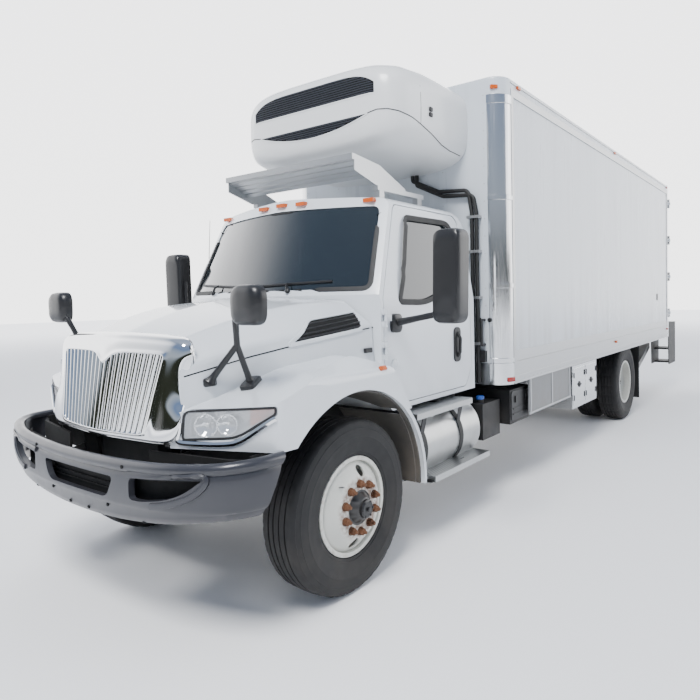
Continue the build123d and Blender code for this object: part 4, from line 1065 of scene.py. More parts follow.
class TRUCK_OT_seats(bpy.types.Operator):
    """Builds the two stuffed cloth seats on their pedestals"""

    bl_idname = "truck.seats"
    bl_label = "Seats"

    def execute(self, context):
        base = Form()
        for side, name in ((1, "left"), (-1, "right")):
            y = side * 0.485
            pad(f"seat_cushion_{name}", ahead(-1.310, y, 1.415), (0.46, 0.45, 0.14), math.radians(-3))
            pad(f"seat_back_{name}", ahead(-1.490, y, 1.775), (0.13, 0.44, 0.58), math.radians(-10))
            pad(f"seat_headrest_{name}", ahead(-1.562, y, 2.150), (0.09, 0.27, 0.15), math.radians(-10))
            plan = rounded(
                [
                    (-1.500, y - 0.17, 0.04), (-1.140, y - 0.17, 0.04), (-1.140, y + 0.17, 0.04),
                    (-1.500, y + 0.17, 0.04)
                ]
            )
            rings = []
            for z, grow in ((1.130, 1.0), (1.160, 0.94), (1.300, 0.90), (1.345, 1.04)):
                rings.append([ahead(-1.32 + (p.x + 1.32) * grow, y + (p.y - y) * grow, z) for p in plan])
            base.rings(rings)
            for across in (-0.06, 0.06):
                base.rod(ahead(-1.545, y + across, 2.02), ahead(-1.562, y + across, 2.11), 0.007, 10)
            base.rod(ahead(-1.455, y - 0.235, 1.44), ahead(-1.455, y + 0.235, 1.44), 0.028, 14)
            base.tube([ahead(-1.44, y + side * 0.24, 1.66), ahead(-1.25, y + side * 0.24, 1.655)], 0.022, 12)
        piece = base.done("seat_bases", "chassis", "dash", "seat_cloth", bevel=0.003)
        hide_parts("seats")
        return {"FINISHED"}


# Nose


class TruckNose(bpy.types.PropertyGroup):
    """The grille's bars."""

    bars: IntProperty(name="Bars", description="Upright bars on each side of the grille", default=10, min=2)
    bar_pitch: FloatProperty(
        name="Bar pitch", description="Distance between the bars' feet", default=0.0438, unit="LENGTH"
    )
    bar_radius: FloatProperty(
        name="Bar radius", description="Radius of a bar at its foot", default=0.0160, unit="LENGTH"
    )


def grille_x(y, z):
    """How far ahead of the front axle the leaning, V-shaped grille stands."""
    return 0.968 - 0.09 * abs(y) - (z - 1.026) * 68 / 430


# Half of the grille's surround from the bottom middle to the top middle: the opening's edge
# and the outer edge (across, up), and how deep the outer edge turns back
SURROUND = (
    ((0.000, 1.058), (0.000, 1.006), 1.0),
    ((0.200, 1.059), (0.210, 1.007), 1.0),
    ((0.395, 1.062), (0.470, 1.009), 0.8),
    ((0.425, 1.075), (0.600, 1.014), 0.4),
    ((0.432, 1.110), (0.655, 1.050), 0.35),
    ((0.443, 1.160), (0.668, 1.120), 0.35),
    ((0.452, 1.210), (0.668, 1.186), 0.4),
    ((0.460, 1.250), (0.652, 1.224), 0.7),
    ((0.470, 1.290), (0.648, 1.270), 0.9),
    ((0.485, 1.350), (0.652, 1.335), 1.0),
    ((0.500, 1.420), (0.660, 1.410), 1.0),
    ((0.513, 1.462), (0.668, 1.480), 0.8),
    ((0.512, 1.482), (0.662, 1.538), 0.7),
    ((0.495, 1.487), (0.628, 1.576), 0.75),
    ((0.400, 1.488), (0.500, 1.592), 1.0),
    ((0.250, 1.489), (0.270, 1.600), 1.0),
    ((0.105, 1.489), (0.115, 1.603), 1.0),
    ((0.050, 1.450), (0.052, 1.604), 1.0),
    ((0.000, 1.412), (0.000, 1.604), 1.0),
)
# From the opening outwards: share of the way, and how far ahead of the bars' plane
SURROUND_FORM = (
    (0.0, -0.050),
    (0.0, -0.004),
    (0.05, 0.011),
    (0.14, 0.008),
    (0.22, 0.001),
    (0.55, 0.000),
    (0.80, -0.012),
    (0.94, -0.034),
    (1.0, -0.070),
    (0.98, -0.110),
    (0.70, -0.150),
)


class TRUCK_OT_grille(bpy.types.Operator):
    """Builds the bright sculpted surround, its fanned bars and the dark sheet behind them, which is painted
    shade inside the grille
    """

    bl_idname = "truck.grille"
    bl_label = "Grille"

    def execute(self, context):
        look = context.scene.truck_nose
        rings = []
        half = list(SURROUND)
        for side, rows in ((1, half), (-1, list(reversed(half[1:-1])))):
            for inner, outer, deep in rows:
                ring = []
                for share, off in SURROUND_FORM:
                    y = inner[0] + (outer[0] - inner[0]) * share
                    z = inner[1] + (outer[1] - inner[1]) * share
                    x = grille_x(y, z) + (off * deep if share > 0.6 else off)
                    ring.append(ahead(x, side * y, z))
                rings.append(ring)
        surround = Form().rings(rings, closed=True)
        piece = surround.done("grille_surround", "hood", "chrome", "bright_chrome", smooth=180.0)
        rounding = piece.modifiers.new("rounding", "SUBSURF")
        rounding.levels = rounding.render_levels = 2
        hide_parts("grille")
        bars = Form()
        for side in (1, -1):
            for index in range(look.bars):
                foot_y = 0.020 + index * look.bar_pitch
                head_y = 0.026 + index * look.bar_pitch * 1.22
                top = min(1.490, 1.418 + head_y * 0.77)
                foot = ahead(grille_x(foot_y, 1.052) - 0.012, side * foot_y, 1.052)
                head = ahead(grille_x(head_y, top) - 0.012, side * head_y, top)
                bars.tube([foot, head], [look.bar_radius, look.bar_radius * 1.2], 16)
        bars.done("grille_bars", "hood", "chrome", "bright_chrome")
        # A near-black sheet behind the bars: painted shade inside the grille.
        screen = Form()
        for z in (1.045, 1.50):
            screen.points += [ahead(grille_x(y, z) - 0.047, y, z) for y in (-0.54, -0.3, 0, 0.3, 0.54)]
        screen.faces += [(i, i + 1, i + 6, i + 5) for i in range(4)]
        screen.done("grille_shade_sheet", "hood", "dark", "unit_slate")
        return {"FINISHED"}


# Reflector bowls of a lamp: across, up, radius
BOWLS = ((0.790, 1.122, 0.058), (0.905, 1.133, 0.052))


class TRUCK_OT_headlights(bpy.types.Operator):
    """Fills the headlights with their bowls, bulbs, dark frames and amber turn lamps"""

    bl_idname = "truck.headlights"
    bl_label = "Headlights"

    def execute(self, context):
        lamp = skin("headlights")
        bowls = Form()
        bulbs = Form()
        frames = Form()
        amber = Form()
        rims = Form()
        for y, z, radius in BOWLS:
            face, _ = laid(lamp, ahead(1.4, y, z), (-1, 0, 0))
            out = Vector((0.86, 0.5, 0.02)).normalized()
            root = face - out * 0.050
            depths = [
                (0.0, 0.004), (0.003, radius * 0.45), (0.013, radius * 0.75), (0.030, radius * 0.96),
                (0.031, radius)
            ]
            bowls.turn(depths, root, out, 28)
            bulbs.ball(root + out * 0.012, radius * 0.26, 0.8, out)
            rims.turn(
                [(0.028, radius * 0.95), (0.034, radius), (0.034, radius * 1.08), (0.026, radius * 1.1)],
                root, out, 28, closed=True
            )
        patch(
            frames, lamp,
            [ahead(1.4, y, z) for y, z in ((0.69, 1.06), (1.15, 1.197), (1.15, 1.228), (0.70, 1.196))],
            (-1, 0, 0), -0.046, 14, 4
        )
        patch(
            amber, lamp,
            [ahead(1.4, y, z) for y, z in ((1.02, 1.125), (1.155, 1.205), (1.155, 1.228), (1.02, 1.21))],
            (-1, 0, 0), -0.03, 6, 3
        )
        for form, name, finish in (
            (bowls, "headlight_bowls", "chrome"),
            (bulbs, "headlight_bulbs", "white_lens"),
            (frames, "headlight_frames", "steel"),
            (rims, "headlight_rims", "chrome"),
            (amber, "turn_lamps", "amber"),
        ):
            form.twin()
            form.done(name, "hood", finish, "bright_chrome" if finish != "amber" else "lamp_amber")
        edge = Form()
        outline = rounded(
            [
                (0.668, 1.048, 0.02), (0.960, 1.068, 0.06), (1.164, 1.197, 0.014), (1.164, 1.230, 0.01),
                (0.680, 1.197, 0.04)
            ]
        )
        band(edge, lamp, [ahead(1.4, p.x, p.y) for p in spaced(outline, 0.03)], (-1, 0, 0), 0.007, 0.004)
        edge.twin()
        edge.done("headlight_edges", "hood", "black", "mirror_black")
        bezel = Form()
        around = skin("headlights", "hood")
        lower = curve_through(
            (
                (0.658, 1.140), (0.652, 1.090), (0.645, 1.042), (0.720, 1.031), (0.900, 1.036),
                (0.985, 1.058), (1.080, 1.120), (1.165, 1.178)
            ),
            4
        )
        band(bezel, around, [ahead(1.4, p.x, p.y) for p in lower], (-1, 0, 0), 0.015, 0.014, closed=False)
        bezel.twin()
        bezel.done("headlight_bezels", "hood", "chrome", "bright_chrome")
        return {"FINISHED"}


# Half of the bumper's plan: ahead of the front axle, and across
BUMPER_PLAN = (
    (1.090, 0.0),
    (1.089, 0.14),
    (1.081, 0.40),
    (1.058, 0.70),
    (1.018, 0.90),
    (0.950, 1.075),
    (0.850, 1.172),
    (0.735, 1.210),
    (0.628, 1.214),
)
CENTRE_HOLE = ((0.315, 0.747, 0.05), (0.374, 0.864, 0.035))
SIDE_HOLE = (
    (0.512, 0.765, 0.030),
    (0.610, 0.768, 0.060),
    (0.777, 0.798, 0.080),
    (0.895, 0.842, 0.060),
    (0.994, 0.914, 0.014),
    (0.860, 0.905, 0.080),
    (0.512, 0.876, 0.030),
)
HOLE_RIM = (
    (0.500, 0.893),
    (0.700, 0.907),
    (0.880, 0.926),
    (0.985, 0.938),
    (1.018, 0.918),
    (0.998, 0.878),
    (0.925, 0.826),
    (0.800, 0.780),
    (0.680, 0.756),
)


def curve_through(points, steps):
    """A smooth line through points, with a number of steps between each pair."""
    line = []
    last = len(points) - 1
    for index in range(last):
        a, b, c, d = (Vector(points[min(max(index + k, 0), last)]) for k in (-1, 0, 1, 2))
        for step in range(steps):
            t = step / steps
            bend = b * 2 + (c - a) * t + (a * 2 - b * 5 + c * 4 - d) * t**2
            line.append((bend + (b * 3 - a - c * 3 + d) * t**3) / 2)
    return line + [Vector(points[-1])]


def cut(piece, cutters):
    """Takes the cutters' solids out of a piece and applies the result."""
    tool = bpy.data.objects.new("cutter", bpy.data.meshes.new("cutter"))
    tool.data.from_pydata(cutters.points, [], cutters.faces)
    face_outwards(tool.data)
    bpy.context.scene.collection.objects.link(tool)
    holes = piece.modifiers.new("holes", "BOOLEAN")
    holes.operation = "DIFFERENCE"
    holes.solver = "EXACT"
    holes.object = tool
    bpy.context.view_layer.update()
    ready = piece.evaluated_get(bpy.context.evaluated_depsgraph_get())
    mesh = bpy.data.meshes.new_from_object(ready)
    piece.modifiers.clear()
    piece.data = mesh
    bpy.data.objects.remove(tool)
    mesh.set_sharp_from_angle(angle=math.radians(40))


# Dark plates behind the bumper, painted shade of the space behind it: plan outline, underside and height
BUMPER_PLATES = (
    (
        (
            (1.000, 0.46), (0.985, 0.62), (0.915, 0.95), (0.865, 1.04), (0.855, 1.04), (0.90, 0.94),
            (0.975, 0.46)
        ),
        0.70, 0.225
    ),
    (((0.900, 0.43), (0.800, 0.98), (0.740, 1.08), (0.730, 1.07), (0.785, 0.96), (0.885, 0.43)), 0.70, 0.270),
    (((0.645, 0.42), (0.655, 0.42), (0.655, 1.05), (0.745, 1.06), (0.740, 1.07), (0.645, 1.06)), 0.78, 0.208),
)


class TRUCK_OT_bumper(bpy.types.Operator):
    """Builds the swept bumper with its fat rim and openings, and dark plates behind it that paint the shade
    there
    """

    bl_idname = "truck.bumper"
    bl_label = "Bumper"

    @staticmethod
    def section(y):
        """Its section at a distance across: out from the plan line, and up."""
        rise = (y / 1.2) ** 2
        top = 0.952 + 0.054 * rise
        rim = 0.896 + 0.054 * rise
        crease = 0.716 + 0.048 * rise
        low = 0.614 + 0.098 * rise
        return (
            (-0.058, top - 0.034),
            (-0.056, top - 0.012),
            (-0.044, top - 0.001),
            (-0.026, top + 0.002),
            (-0.010, top - 0.005),
            (0.000, top - 0.020),
            (0.001, top - 0.034),
            (-0.005, rim + 0.004),
            (-0.012, rim - 0.002),
            (-0.009, rim - 0.012),
            (-0.005, rim - 0.035),
            (-0.003, (rim + crease) / 2),
            (-0.004, crease + 0.018),
            (-0.008, crease),
            (-0.018, crease - 0.012),
            (-0.022, low + 0.040),
            (-0.032, low + 0.012),
            (-0.050, low),
            (-0.066, low + 0.006),
            (-0.050, low + 0.040),
            (-0.038, crease),
            (-0.036, rim - 0.02),
            (-0.040, top - 0.040),
        )

    def shell(self):
        plan = curve_through(BUMPER_PLAN, 10)
        reach = [0.0]
        for before, after in zip(plan, plan[1:]):
            reach.append(reach[-1] + (after - before).length)
        half = []
        for step in range(49):
            share = step / 48
            across = plan[min(range(len(plan)), key=lambda i: abs(reach[i] - share * reach[-1]))].y
            rows = self.section(across)
            top, low = rows[3][1], rows[17][1]
            ring = []
            for out, z in rows:
                along = share * (reach[-1] - 0.15 * (top - z) / (top - low))
                index = max(i for i in range(len(plan) - 1) if reach[i] <= along + 1e-9)
                start, end = plan[index], plan[index + 1]
                place = start.lerp(end, (along - reach[index]) / (reach[index + 1] - reach[index]))
                run = (end - start).normalized()
                ring.append((place.x + run.y * out, place.y - run.x * out, z))
            half.append(ring)
        rings = [[ahead(x, -y, z) for x, y, z in ring] for ring in reversed(half[1:])]
        rings += [[ahead(x, y, z) for x, y, z in ring] for ring in half]
        return Form().rings(rings)

    def execute(self, context):
        form = self.shell()
        surface = BVHTree.FromPolygons(form.points, form.faces)
        form.box(ahead(1.028, -0.44, 0.650), ahead(1.050, 0.44, 0.735))
        piece = form.done("front_bumper", "chassis", "bumper", "bumper_grey", smooth=40.0)
        holes = Form()
        holes.prism([ahead(0.98, p.x, p.y) for p in rounded(both_ways(list(CENTRE_HOLE)))], (0.3, 0, 0))
        side = rounded(SIDE_HOLE)
        holes.prism([ahead(0.84, p.x, p.y) for p in side], (0.4, 0, 0))
        holes.prism([ahead(0.84, -p.x, p.y) for p in reversed(side)], (0.4, 0, 0))
        cut(piece, holes)
        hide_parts("bumper")
        rim = Form()
        line = curve_through(HOLE_RIM, 4)
        band(rim, surface, [ahead(1.5, p.x, p.y) for p in line], (-1, 0, 0), 0.017, 0.012, closed=False)
        rim.twin()
        rim.done("bumper_hole_rims", "chassis", "bumper", "bumper_grey")
        bolts = Form()
        for y, z in ((0.47, 0.930), (0.10, 0.650), (0.58, 0.650), (0.30, 0.700)):
            place, normal = laid(surface, ahead(1.5, y, z), (-1, 0, 0))
            bolts.turn([(0, 0.010), (0.004, 0.010), (0.006, 0.007), (0.006, 0.0001)], place, normal, 12)
        bolts.twin()
        bolts.done("bumper_bolts", "chassis", "dark", "bumper_grey")
        # Near-black plates behind the bumper and its openings, painted shade of the space behind it, with
        # three dark bars across the middle opening.
        inside = Form()
        inside.box(ahead(1.000, -0.385, 0.655), ahead(1.012, 0.385, 0.900))
        for z in (0.765, 0.795, 0.825):
            inside.box(ahead(1.012, -0.38, z - 0.004), ahead(1.022, 0.38, z + 0.004))
        inside.box(ahead(0.700, -0.36, 0.66), ahead(0.730, 0.36, 0.985))
        for outline, low, tall in BUMPER_PLATES:
            inside.prism([ahead(x, y, low) for x, y in outline], (0, 0, tall))
            inside.prism([ahead(x, -y, low) for x, y in reversed(outline)], (0, 0, tall))
        inside.done("bumper_shade_plates", "chassis", "dark", "frame_black")
        return {"FINISHED"}


# Bonnet side vent's corners: ahead of the axle, and up
VENT = ((0.232, 1.500), (0.030, 1.648), (-0.350, 1.690), (-0.318, 1.572))


class TRUCK_OT_hood_trim(bpy.types.Operator):
    """Adds the bonnet's side vents, arm covers, mirrors, seams, latches and side lamps"""

    bl_idname = "truck.hood_trim"
    bl_label = "Bonnet trim"

    def execute(self, context):
        hood = skin("hood")
        # The vents' openings are a near-black sheet laid on the bonnet: painted shade behind the slats.
        vent = Form()
        patch(vent, hood, [ahead(x, 1.6, z) for x, z in VENT], (0, -1, 0), 0.003, 10, 4)
        vent.twin()
        vent.done("vent_shade_sheets", "hood", "dark", "liner_black")
        bezel = Form()
        outline = rounded([(x, z, 0.03) for x, z in VENT])
        band(bezel, hood, [ahead(p.x, 1.6, p.y) for p in spaced(outline, 0.03)], (0, -1, 0), 0.014, 0.010)
        bezel.twin()
        bezel.done("vent_bezels", "hood", "white", "white_paint")
        slats = Form()
        (ax, az), (bx, bz), (cx, cz), (dx, dz) = VENT
        for row in range(1, 5):
            t = row / 5
            start = Vector((ax + (bx - ax) * t, az + (bz - az) * t))
            end = Vector((dx + (cx - dx) * t, dz + (cz - dz) * t))
            places = [start.lerp(end, step / 10) for step in range(11)]
            band(slats, hood, [ahead(p.x, 1.6, p.y) for p in places], (0, -1, 0), 0.006, 0.008, closed=False)
        slats.twin()
        slats.done("vent_slats", "hood", "black", "liner_black")
        covers = Form()
        arm = ((1.029, 0.721), (1.029, 0.779), (0.800, 0.804), (0.840, 0.985), (0.761, 0.985), (0.721, 0.731))
        covers.prism([ahead(x, 0.390, z) for x, z in arm], (0, 0.024, 0))
        covers.twin()
        covers.done("hood_arm_covers", "hood", "dark", "liner_black")
        mirrors = Form()
        outline = rounded(
            [(0.878, 1.645, 0.07), (1.100, 1.645, 0.07), (1.105, 1.858, 0.08), (0.873, 1.858, 0.08)], 8
        )
        centre = Vector((0.989, 1.752))
        rings = []
        for x, grow in (
            (0.640, 0.94), (0.634, 1.0), (0.665, 1.0), (0.690, 0.94), (0.703, 0.80), (0.708, 0.55),
            (0.709, 0.2)
        ):
            rings.append([ahead(x, *(centre + (p - centre) * grow)) for p in outline])
        mirrors.rings(rings)
        fork = ahead(0.620, 0.842, 1.536)
        top = ahead(0.664, 0.888, 1.668)
        mirrors.tube(
            [fork, fork.lerp(top, 0.5), top, ahead(0.672, 0.92, 1.70)], [0.0175, 0.0165, 0.019, 0.022], 12
        )
        for x, y, reach, wide, high in (
            (0.505, 0.815, 0.070, 0.044, 0.030), (0.690, 0.700, 0.036, 0.024, 0.016)
        ):
            start = fork + Vector((0.02, 0.02, 0.1))
            place, normal = laid(hood, start, ahead(x, y, 1.302 if x < 0.6 else 1.345) - start)
            level = Vector((0.92, 0.38, 0))
            along = (level - normal * normal.dot(level)).normalized()
            lamp_pad(mirrors, place, normal, along, reach, wide, high)
            mirrors.tube(
                [place + normal * high * 0.6, place.lerp(fork, 0.14), place.lerp(fork, 0.3), fork],
                [0.034, 0.020, 0.0175, 0.0165], 12
            )
        mirrors.twin()
        piece = mirrors.done("hood_mirror_heads", "hood", "gloss_black", "mirror_black", smooth=40)
        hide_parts("hood_mirrors")
        glass = Form()
        face = rounded(
            [(0.892, 1.660, 0.06), (1.088, 1.660, 0.06), (1.092, 1.843, 0.07), (0.888, 1.843, 0.07)], 8
        )
        glass.prism([ahead(0.632, p.x, p.y) for p in face], (0.006, 0, 0))
        glass.twin()
        glass.done("hood_mirror_glass", "hood", "mirror", "mirror_black")
        gap = Form()
        seam_line = [
            (0.820, 1.376), (0.667, 1.410), (0.463, 1.454), (0.147, 1.507), (-0.144, 1.551), (-0.420, 1.580)
        ]
        line = spaced([Vector(point) for point in seam_line], 0.05, closed=False)
        band(gap, hood, [ahead(p.x, 1.6, p.y) for p in line], (0, -1, 0), 0.0045, 0.0012, closed=False)
        gap.twin()
        gap.done("hood_seams", "hood", "dark", "liner_black")
        lamps = Form()
        place, normal = laid(hood, ahead(-0.225, 1.6, 1.335), (0, -1, 0))
        lamp_pad(lamps, place, normal, (1, 0, 0), 0.034, 0.014, 0.016)
        lamps.twin()
        lamps.done("fender_lamps", "hood", "amber", "lamp_amber")
        for side, name in ((1, "left"), (-1, "right")):
            door = skin("door_" + name, "cab_shell")
            place, normal = laid(door, ahead(-0.585, side * 1.6, 1.315), (0, -side, 0))
            form = Form()
            form.turn(
                [(-0.002, 0.040), (0.006, 0.040), (0.012, 0.034), (0.014, 0.020), (0.015, 0.0001)], place,
                normal, 28
            )
            form.done("door_round_lamp_" + name, "cab_door_" + name, "lens", "lamp_clear")
        latch = Form()
        place, normal = laid(hood, ahead(-0.36, 1.6, 1.43), (0, -1, 0))
        lamp_pad(latch, place, normal, (1, 0, 0), 0.04, 0.016, 0.018)
        latch.twin()
        latch.done("hood_latches", "hood", "black", "mirror_black")
        return {"FINISHED"}


# Wiper blades on the windscreen: across and up at each end, and the arm's root
WIPERS = (
    ((-0.80, 1.905), (-0.13, 1.872), (-0.52, 1.832)),
    ((-0.02, 1.872), (0.66, 1.895), (0.34, 1.832)),
)


class TRUCK_OT_wipers(bpy.types.Operator):
    """Adds the wipers and the aerial"""

    bl_idname = "truck.wipers"
    bl_label = "Wipers"

    def execute(self, context):
        screen = skin("cab_glass", "cab_shell")
        wipers = Form()
        for start, end, root in WIPERS:
            line = [Vector(start).lerp(Vector(end), step / 12) for step in range(13)]
            band(wipers, screen, [ahead(1.2, p.x, p.y) for p in line], (-1, 0, 0), 0.009, 0.016, closed=False)
            tip, _ = laid(screen, ahead(1.2, *line[6]), (-1, 0, 0), 0.022)
            foot, normal = laid(screen, ahead(1.2, *root), (-1, 0, 0), 0.012)
            wipers.tube(
                [foot, foot.lerp(tip, 0.5) + Vector((0.012, 0, 0.008)), tip], [0.011, 0.008, 0.005], 8
            )
            wipers.ball(foot, 0.02, 0.7, normal)
        wipers.done("wipers", "chassis", "black", "mirror_black")
        aerial = Form()
        root = ahead(-0.62, -1.03, 1.72)
        aerial.tube(
            [root, root + Vector((-0.03, -0.02, 0.35)), root + Vector((-0.08, -0.05, 0.78))],
            [0.005, 0.0035, 0.002], 8
        )
        aerial.ball(root, 0.014)
        aerial.done("aerial", "cab_door_right", "black", "mirror_black")
        return {"FINISHED"}


# Cooling unit


class TruckUnit(bpy.types.PropertyGroup):
    """The cooling unit's grilles."""

    slat_pitch: FloatProperty(
        name="Slat pitch", description="Distance between the unit's slats", default=0.018, unit="LENGTH"
    )


# The housing from its nose to the wall: ahead of the front axle, half width, underside, top
HOUSING = (
    (-0.8850, 0.400, 3.140, 3.400),
    (-0.8850, 0.560, 3.060, 3.470),
    (-0.8930, 0.675, 3.000, 3.520),
    (-0.9200, 0.755, 2.955, 3.560),
    (-0.9850, 0.820, 2.925, 3.592),
    (-1.1000, 0.860, 2.905, 3.622),
    (-1.3500, 0.880, 2.890, 3.646),
    (-1.6000, 0.882, 2.888, 3.648),
    (-1.9380, 0.880, 2.895, 3.640),
)
HOUSING_SEAM = (
    ((-0.89, 0.590, 3.182), (-1, 0, 0)),
    ((-0.90, 0.680, 3.196), (-1, 0, 0)),
    ((-0.93, 0.755, 3.192), (-1, -0.4, 0)),
    ((-0.98, 0.810, 3.180), (-1, -1, 0)),
    ((-1.06, 0.850, 3.162), (-0.4, -1, 0)),
    ((-1.20, 0.870, 3.126), (0, -1, 0)),
    ((-1.36, 0.880, 3.078), (0, -1, 0)),
    ((-1.54, 0.880, 3.030), (0, -1, 0)),
    ((-1.70, 0.880, 3.012), (0, -1, 0)),
    ((-1.92, 0.880, 3.005), (0, -1, 0)),
)


def grille_edges(y, upper):
    """The low and high edge of one of the housing's dark grilles at a distance across."""
    if upper:
        return 3.327, 3.400 + 0.095 * (1 - (abs(y) / 0.665) ** 6)
    return 3.180 - 0.091 * (1 - (abs(y) / 0.595) ** 2), 3.180


class TRUCK_OT_unit(bpy.types.Operator):
    """Builds the cooling unit's rounded housing with its grilles, slats, seam and latches"""

    bl_idname = "truck.unit"
    bl_label = "Cooling unit"

    def execute(self, context):
        look = context.scene.truck_unit
        rings = []
        for x, half, low, high in HOUSING:
            ring = []
            for step in range(48):
                turn = 2 * math.pi * step / 48
                c, s = math.cos(turn), math.sin(turn)
                y = half * math.copysign(abs(c) ** 0.46, c)
                z = (low + high) / 2 + (high - low) / 2 * math.copysign(abs(s) ** 0.50, s)
                ring.append(ahead(x, y, z))
            rings.append(ring)
        housing = Form().rings(rings)
        surface = BVHTree.FromPolygons(housing.points, housing.faces)
        piece = housing.done("unit_housing", "chassis", "unit", "unit_white", smooth=50.0)
        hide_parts("cooling_unit", "unit_louvres")
        shade_sheets, slats, edges = Form(), Form(), Form()
        # The grilles' openings are near-black sheets laid on the housing: painted shade behind the slats.
        for upper, half in ((True, 0.660), (False, 0.590)):
            columns = steps_between(-half, half, 0.04)
            wide, rows = len(columns), 5
            points = []
            for row in range(rows + 1):
                for y in columns:
                    low, high = grille_edges(y, upper)
                    points.append(
                        laid(surface, ahead(0, y, low + (high - low) * row / rows), (-1, 0, 0), 0.0015)[0]
                    )
            faces = [
                (r * wide + i, r * wide + i + 1, (r + 1) * wide + i + 1, (r + 1) * wide + i)
                for r in range(rows)
                for i in range(wide - 1)
            ]
            shade_sheets.add(points, faces)
            low, high = grille_edges(0, upper)
            for z in steps_between(low + 0.012, high - 0.012, look.slat_pitch):
                inside = [0.0]
                for y in steps_between(0, half - 0.012, 0.02):
                    below, above = grille_edges(y, upper)
                    if below + 0.006 < z < above - 0.006:
                        inside.append(y)
                reach = max(inside)
                if reach > 0.06:
                    starts = [ahead(0, y, z) for y in steps_between(-reach, reach, 0.08)]
                    band(slats, surface, starts, (-1, 0, 0), 0.0045, 0.007, closed=False)
            outline = [Vector((y, grille_edges(y, upper)[1] + 0.003)) for y in columns]
            outline += [Vector((y, grille_edges(y, upper)[0] - 0.003)) for y in reversed(columns)]
            band(edges, surface, [ahead(0, p.x, p.y) for p in outline], (-1, 0, 0), 0.006, 0.004)
        shade_sheets.done("unit_shade_sheets", "chassis", "dark", "unit_slate", tidy=False)
        slats.done("unit_slats", "chassis", "slate", "unit_slate")
        edges.done("unit_edges", "chassis", "unit", "unit_white")
        seams = Form()
        found = []
        for (place, aim), (next_place, next_aim) in zip(HOUSING_SEAM, HOUSING_SEAM[1:]):
            for part in range(8):
                toward = Vector(aim).lerp(Vector(next_aim), part / 8).normalized()
                spot = ahead(*Vector(place).lerp(Vector(next_place), part / 8))
                found.append(laid(surface, spot - toward, toward))
        strip(seams, [point for point, _ in found], [normal for _, normal in found], 0.004, 0.0025)
        upright = [ahead(-1.211, 1.6, z) for z in (3.42, 3.35, 3.25, 3.18, 3.128)]
        seam(seams, surface, upright, (0, -1, 0), 0.0025, 0.001)
        for x, z in ((-1.335, 3.262), (-1.335, 3.220)):
            place, normal = laid(surface, ahead(x, 1.6, z), (0, -1, 0))
            lamp_pad(seams, place, normal, (1, 0, 0), 0.022, 0.017, 0.012)
        seams.twin()
        seams.done("unit_seams", "chassis", "black", "unit_slate")
        clamps = Form()
        low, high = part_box("wall_hoses")
        for z in (1.35, 1.75, 2.15, 2.45):
            clamps.box((BOX_FRONT - 0.002, high.y - 0.105, z), (BOX_FRONT + 0.064, high.y + 0.012, z + 0.025))
        clamps.done("hose_clamps", "chassis", "steel", "aluminium", bevel=0.002)
        return {"FINISHED"}


# Body


class TruckBody(bpy.types.PropertyGroup):
    """The insulated body's rivets."""

    rivet: FloatProperty(name="Rivet", description="Radius of a rivet head", default=0.0065, unit="LENGTH")
    pitch: FloatProperty(
        name="Rivet pitch", description="Distance between rivets", default=0.10, min=0.02, unit="LENGTH"
    )


class TRUCK_OT_rivets(bpy.types.Operator):
    """Sets rivet heads along the body's rails, corners and front wall"""

    bl_idname = "truck.rivets"
    bl_label = "Rivets"

    def execute(self, context):
        look = context.scene.truck_body
        side_y = BOX_HIGH.y
        rail_y = RAIL_HIGH.y
        heads = Form()
        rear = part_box("rear_frame")[1].x + 0.03
        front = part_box("corner_posts")[0].x - 0.03
        runs = (
            (rear, front, side_y, BOX_LOW.z + 0.035),
            (rear, front, side_y, BOX_HIGH.z - 0.03),
            (rear, front, rail_y, RAIL_LOW.z + 0.03),
        )
        for start, end, y, z in runs:
            places = [(x, y, z) for x in steps_between(start, end, look.pitch)]
            studs(heads, places, (0, 1, 0), look.rivet, look.rivet * 0.6, 7)
        for x in (front + 0.012, rear):
            places = [(x, side_y, z) for z in steps_between(BOX_LOW.z + 0.1, BOX_HIGH.z - 0.1, look.pitch)]
            studs(heads, places, (0, 1, 0), look.rivet, look.rivet * 0.6, 7)
        heads.twin()
        heads.done("side_rivets", "chassis", "aluminium", "aluminium")
        wall = Form()
        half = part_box("corner_posts")[1].y - 0.155
        for y in steps_between(-half + 0.03, half - 0.03, 0.42):
            places = [
                (BOX_FRONT, y, z)
                for z in steps_between(BOX_LOW.z + 0.05, BOX_HIGH.z - 0.05, look.pitch * 1.5)
            ]
            studs(wall, places, (1, 0, 0), look.rivet, look.rivet * 0.6, 7)
        wall.done("front_rivets", "chassis", "aluminium", "aluminium")
        return {"FINISHED"}


class TRUCK_OT_body_rails(bpy.types.Operator):
    """Adds the body's rails"""

    bl_idname = "truck.body_rails"
    bl_label = "Body rails"

    def execute(self, context):
        y = RAIL_HIGH.y
        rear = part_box("rear_frame")[1].x
        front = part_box("corner_posts")[0].x
        rails = Form()
        # how far from the middle, low and high edges, standing out by
        for low, high, out in (
            (BOX_HIGH.z - 0.055, BOX_HIGH.z + 0.012, 0.005),
            (BOX_HIGH.z + 0.058, BOX_HIGH.z + 0.070, 0.006),
            (RAIL_HIGH.z - 0.012, RAIL_HIGH.z + 0.004, 0.007),
            (RAIL_LOW.z + 0.055, RAIL_LOW.z + 0.068, 0.008),
            (RAIL_LOW.z, RAIL_LOW.z + 0.012, 0.008),
        ):
            rails.box((rear, y - 0.006, low), (front, y + out, high))
        rails.box((front - 0.05, y - 0.006, RAIL_HIGH.z), (front - 0.002, y + 0.004, BOX_HIGH.z))
        rails.box((rear, y - 0.006, RAIL_HIGH.z), (rear + 0.05, y + 0.004, BOX_HIGH.z))
        rails.twin()
        rails.done("body_rails", "chassis", "aluminium", "aluminium", bevel=0.0015)
        return {"FINISHED"}


# Tank, steps and lockers


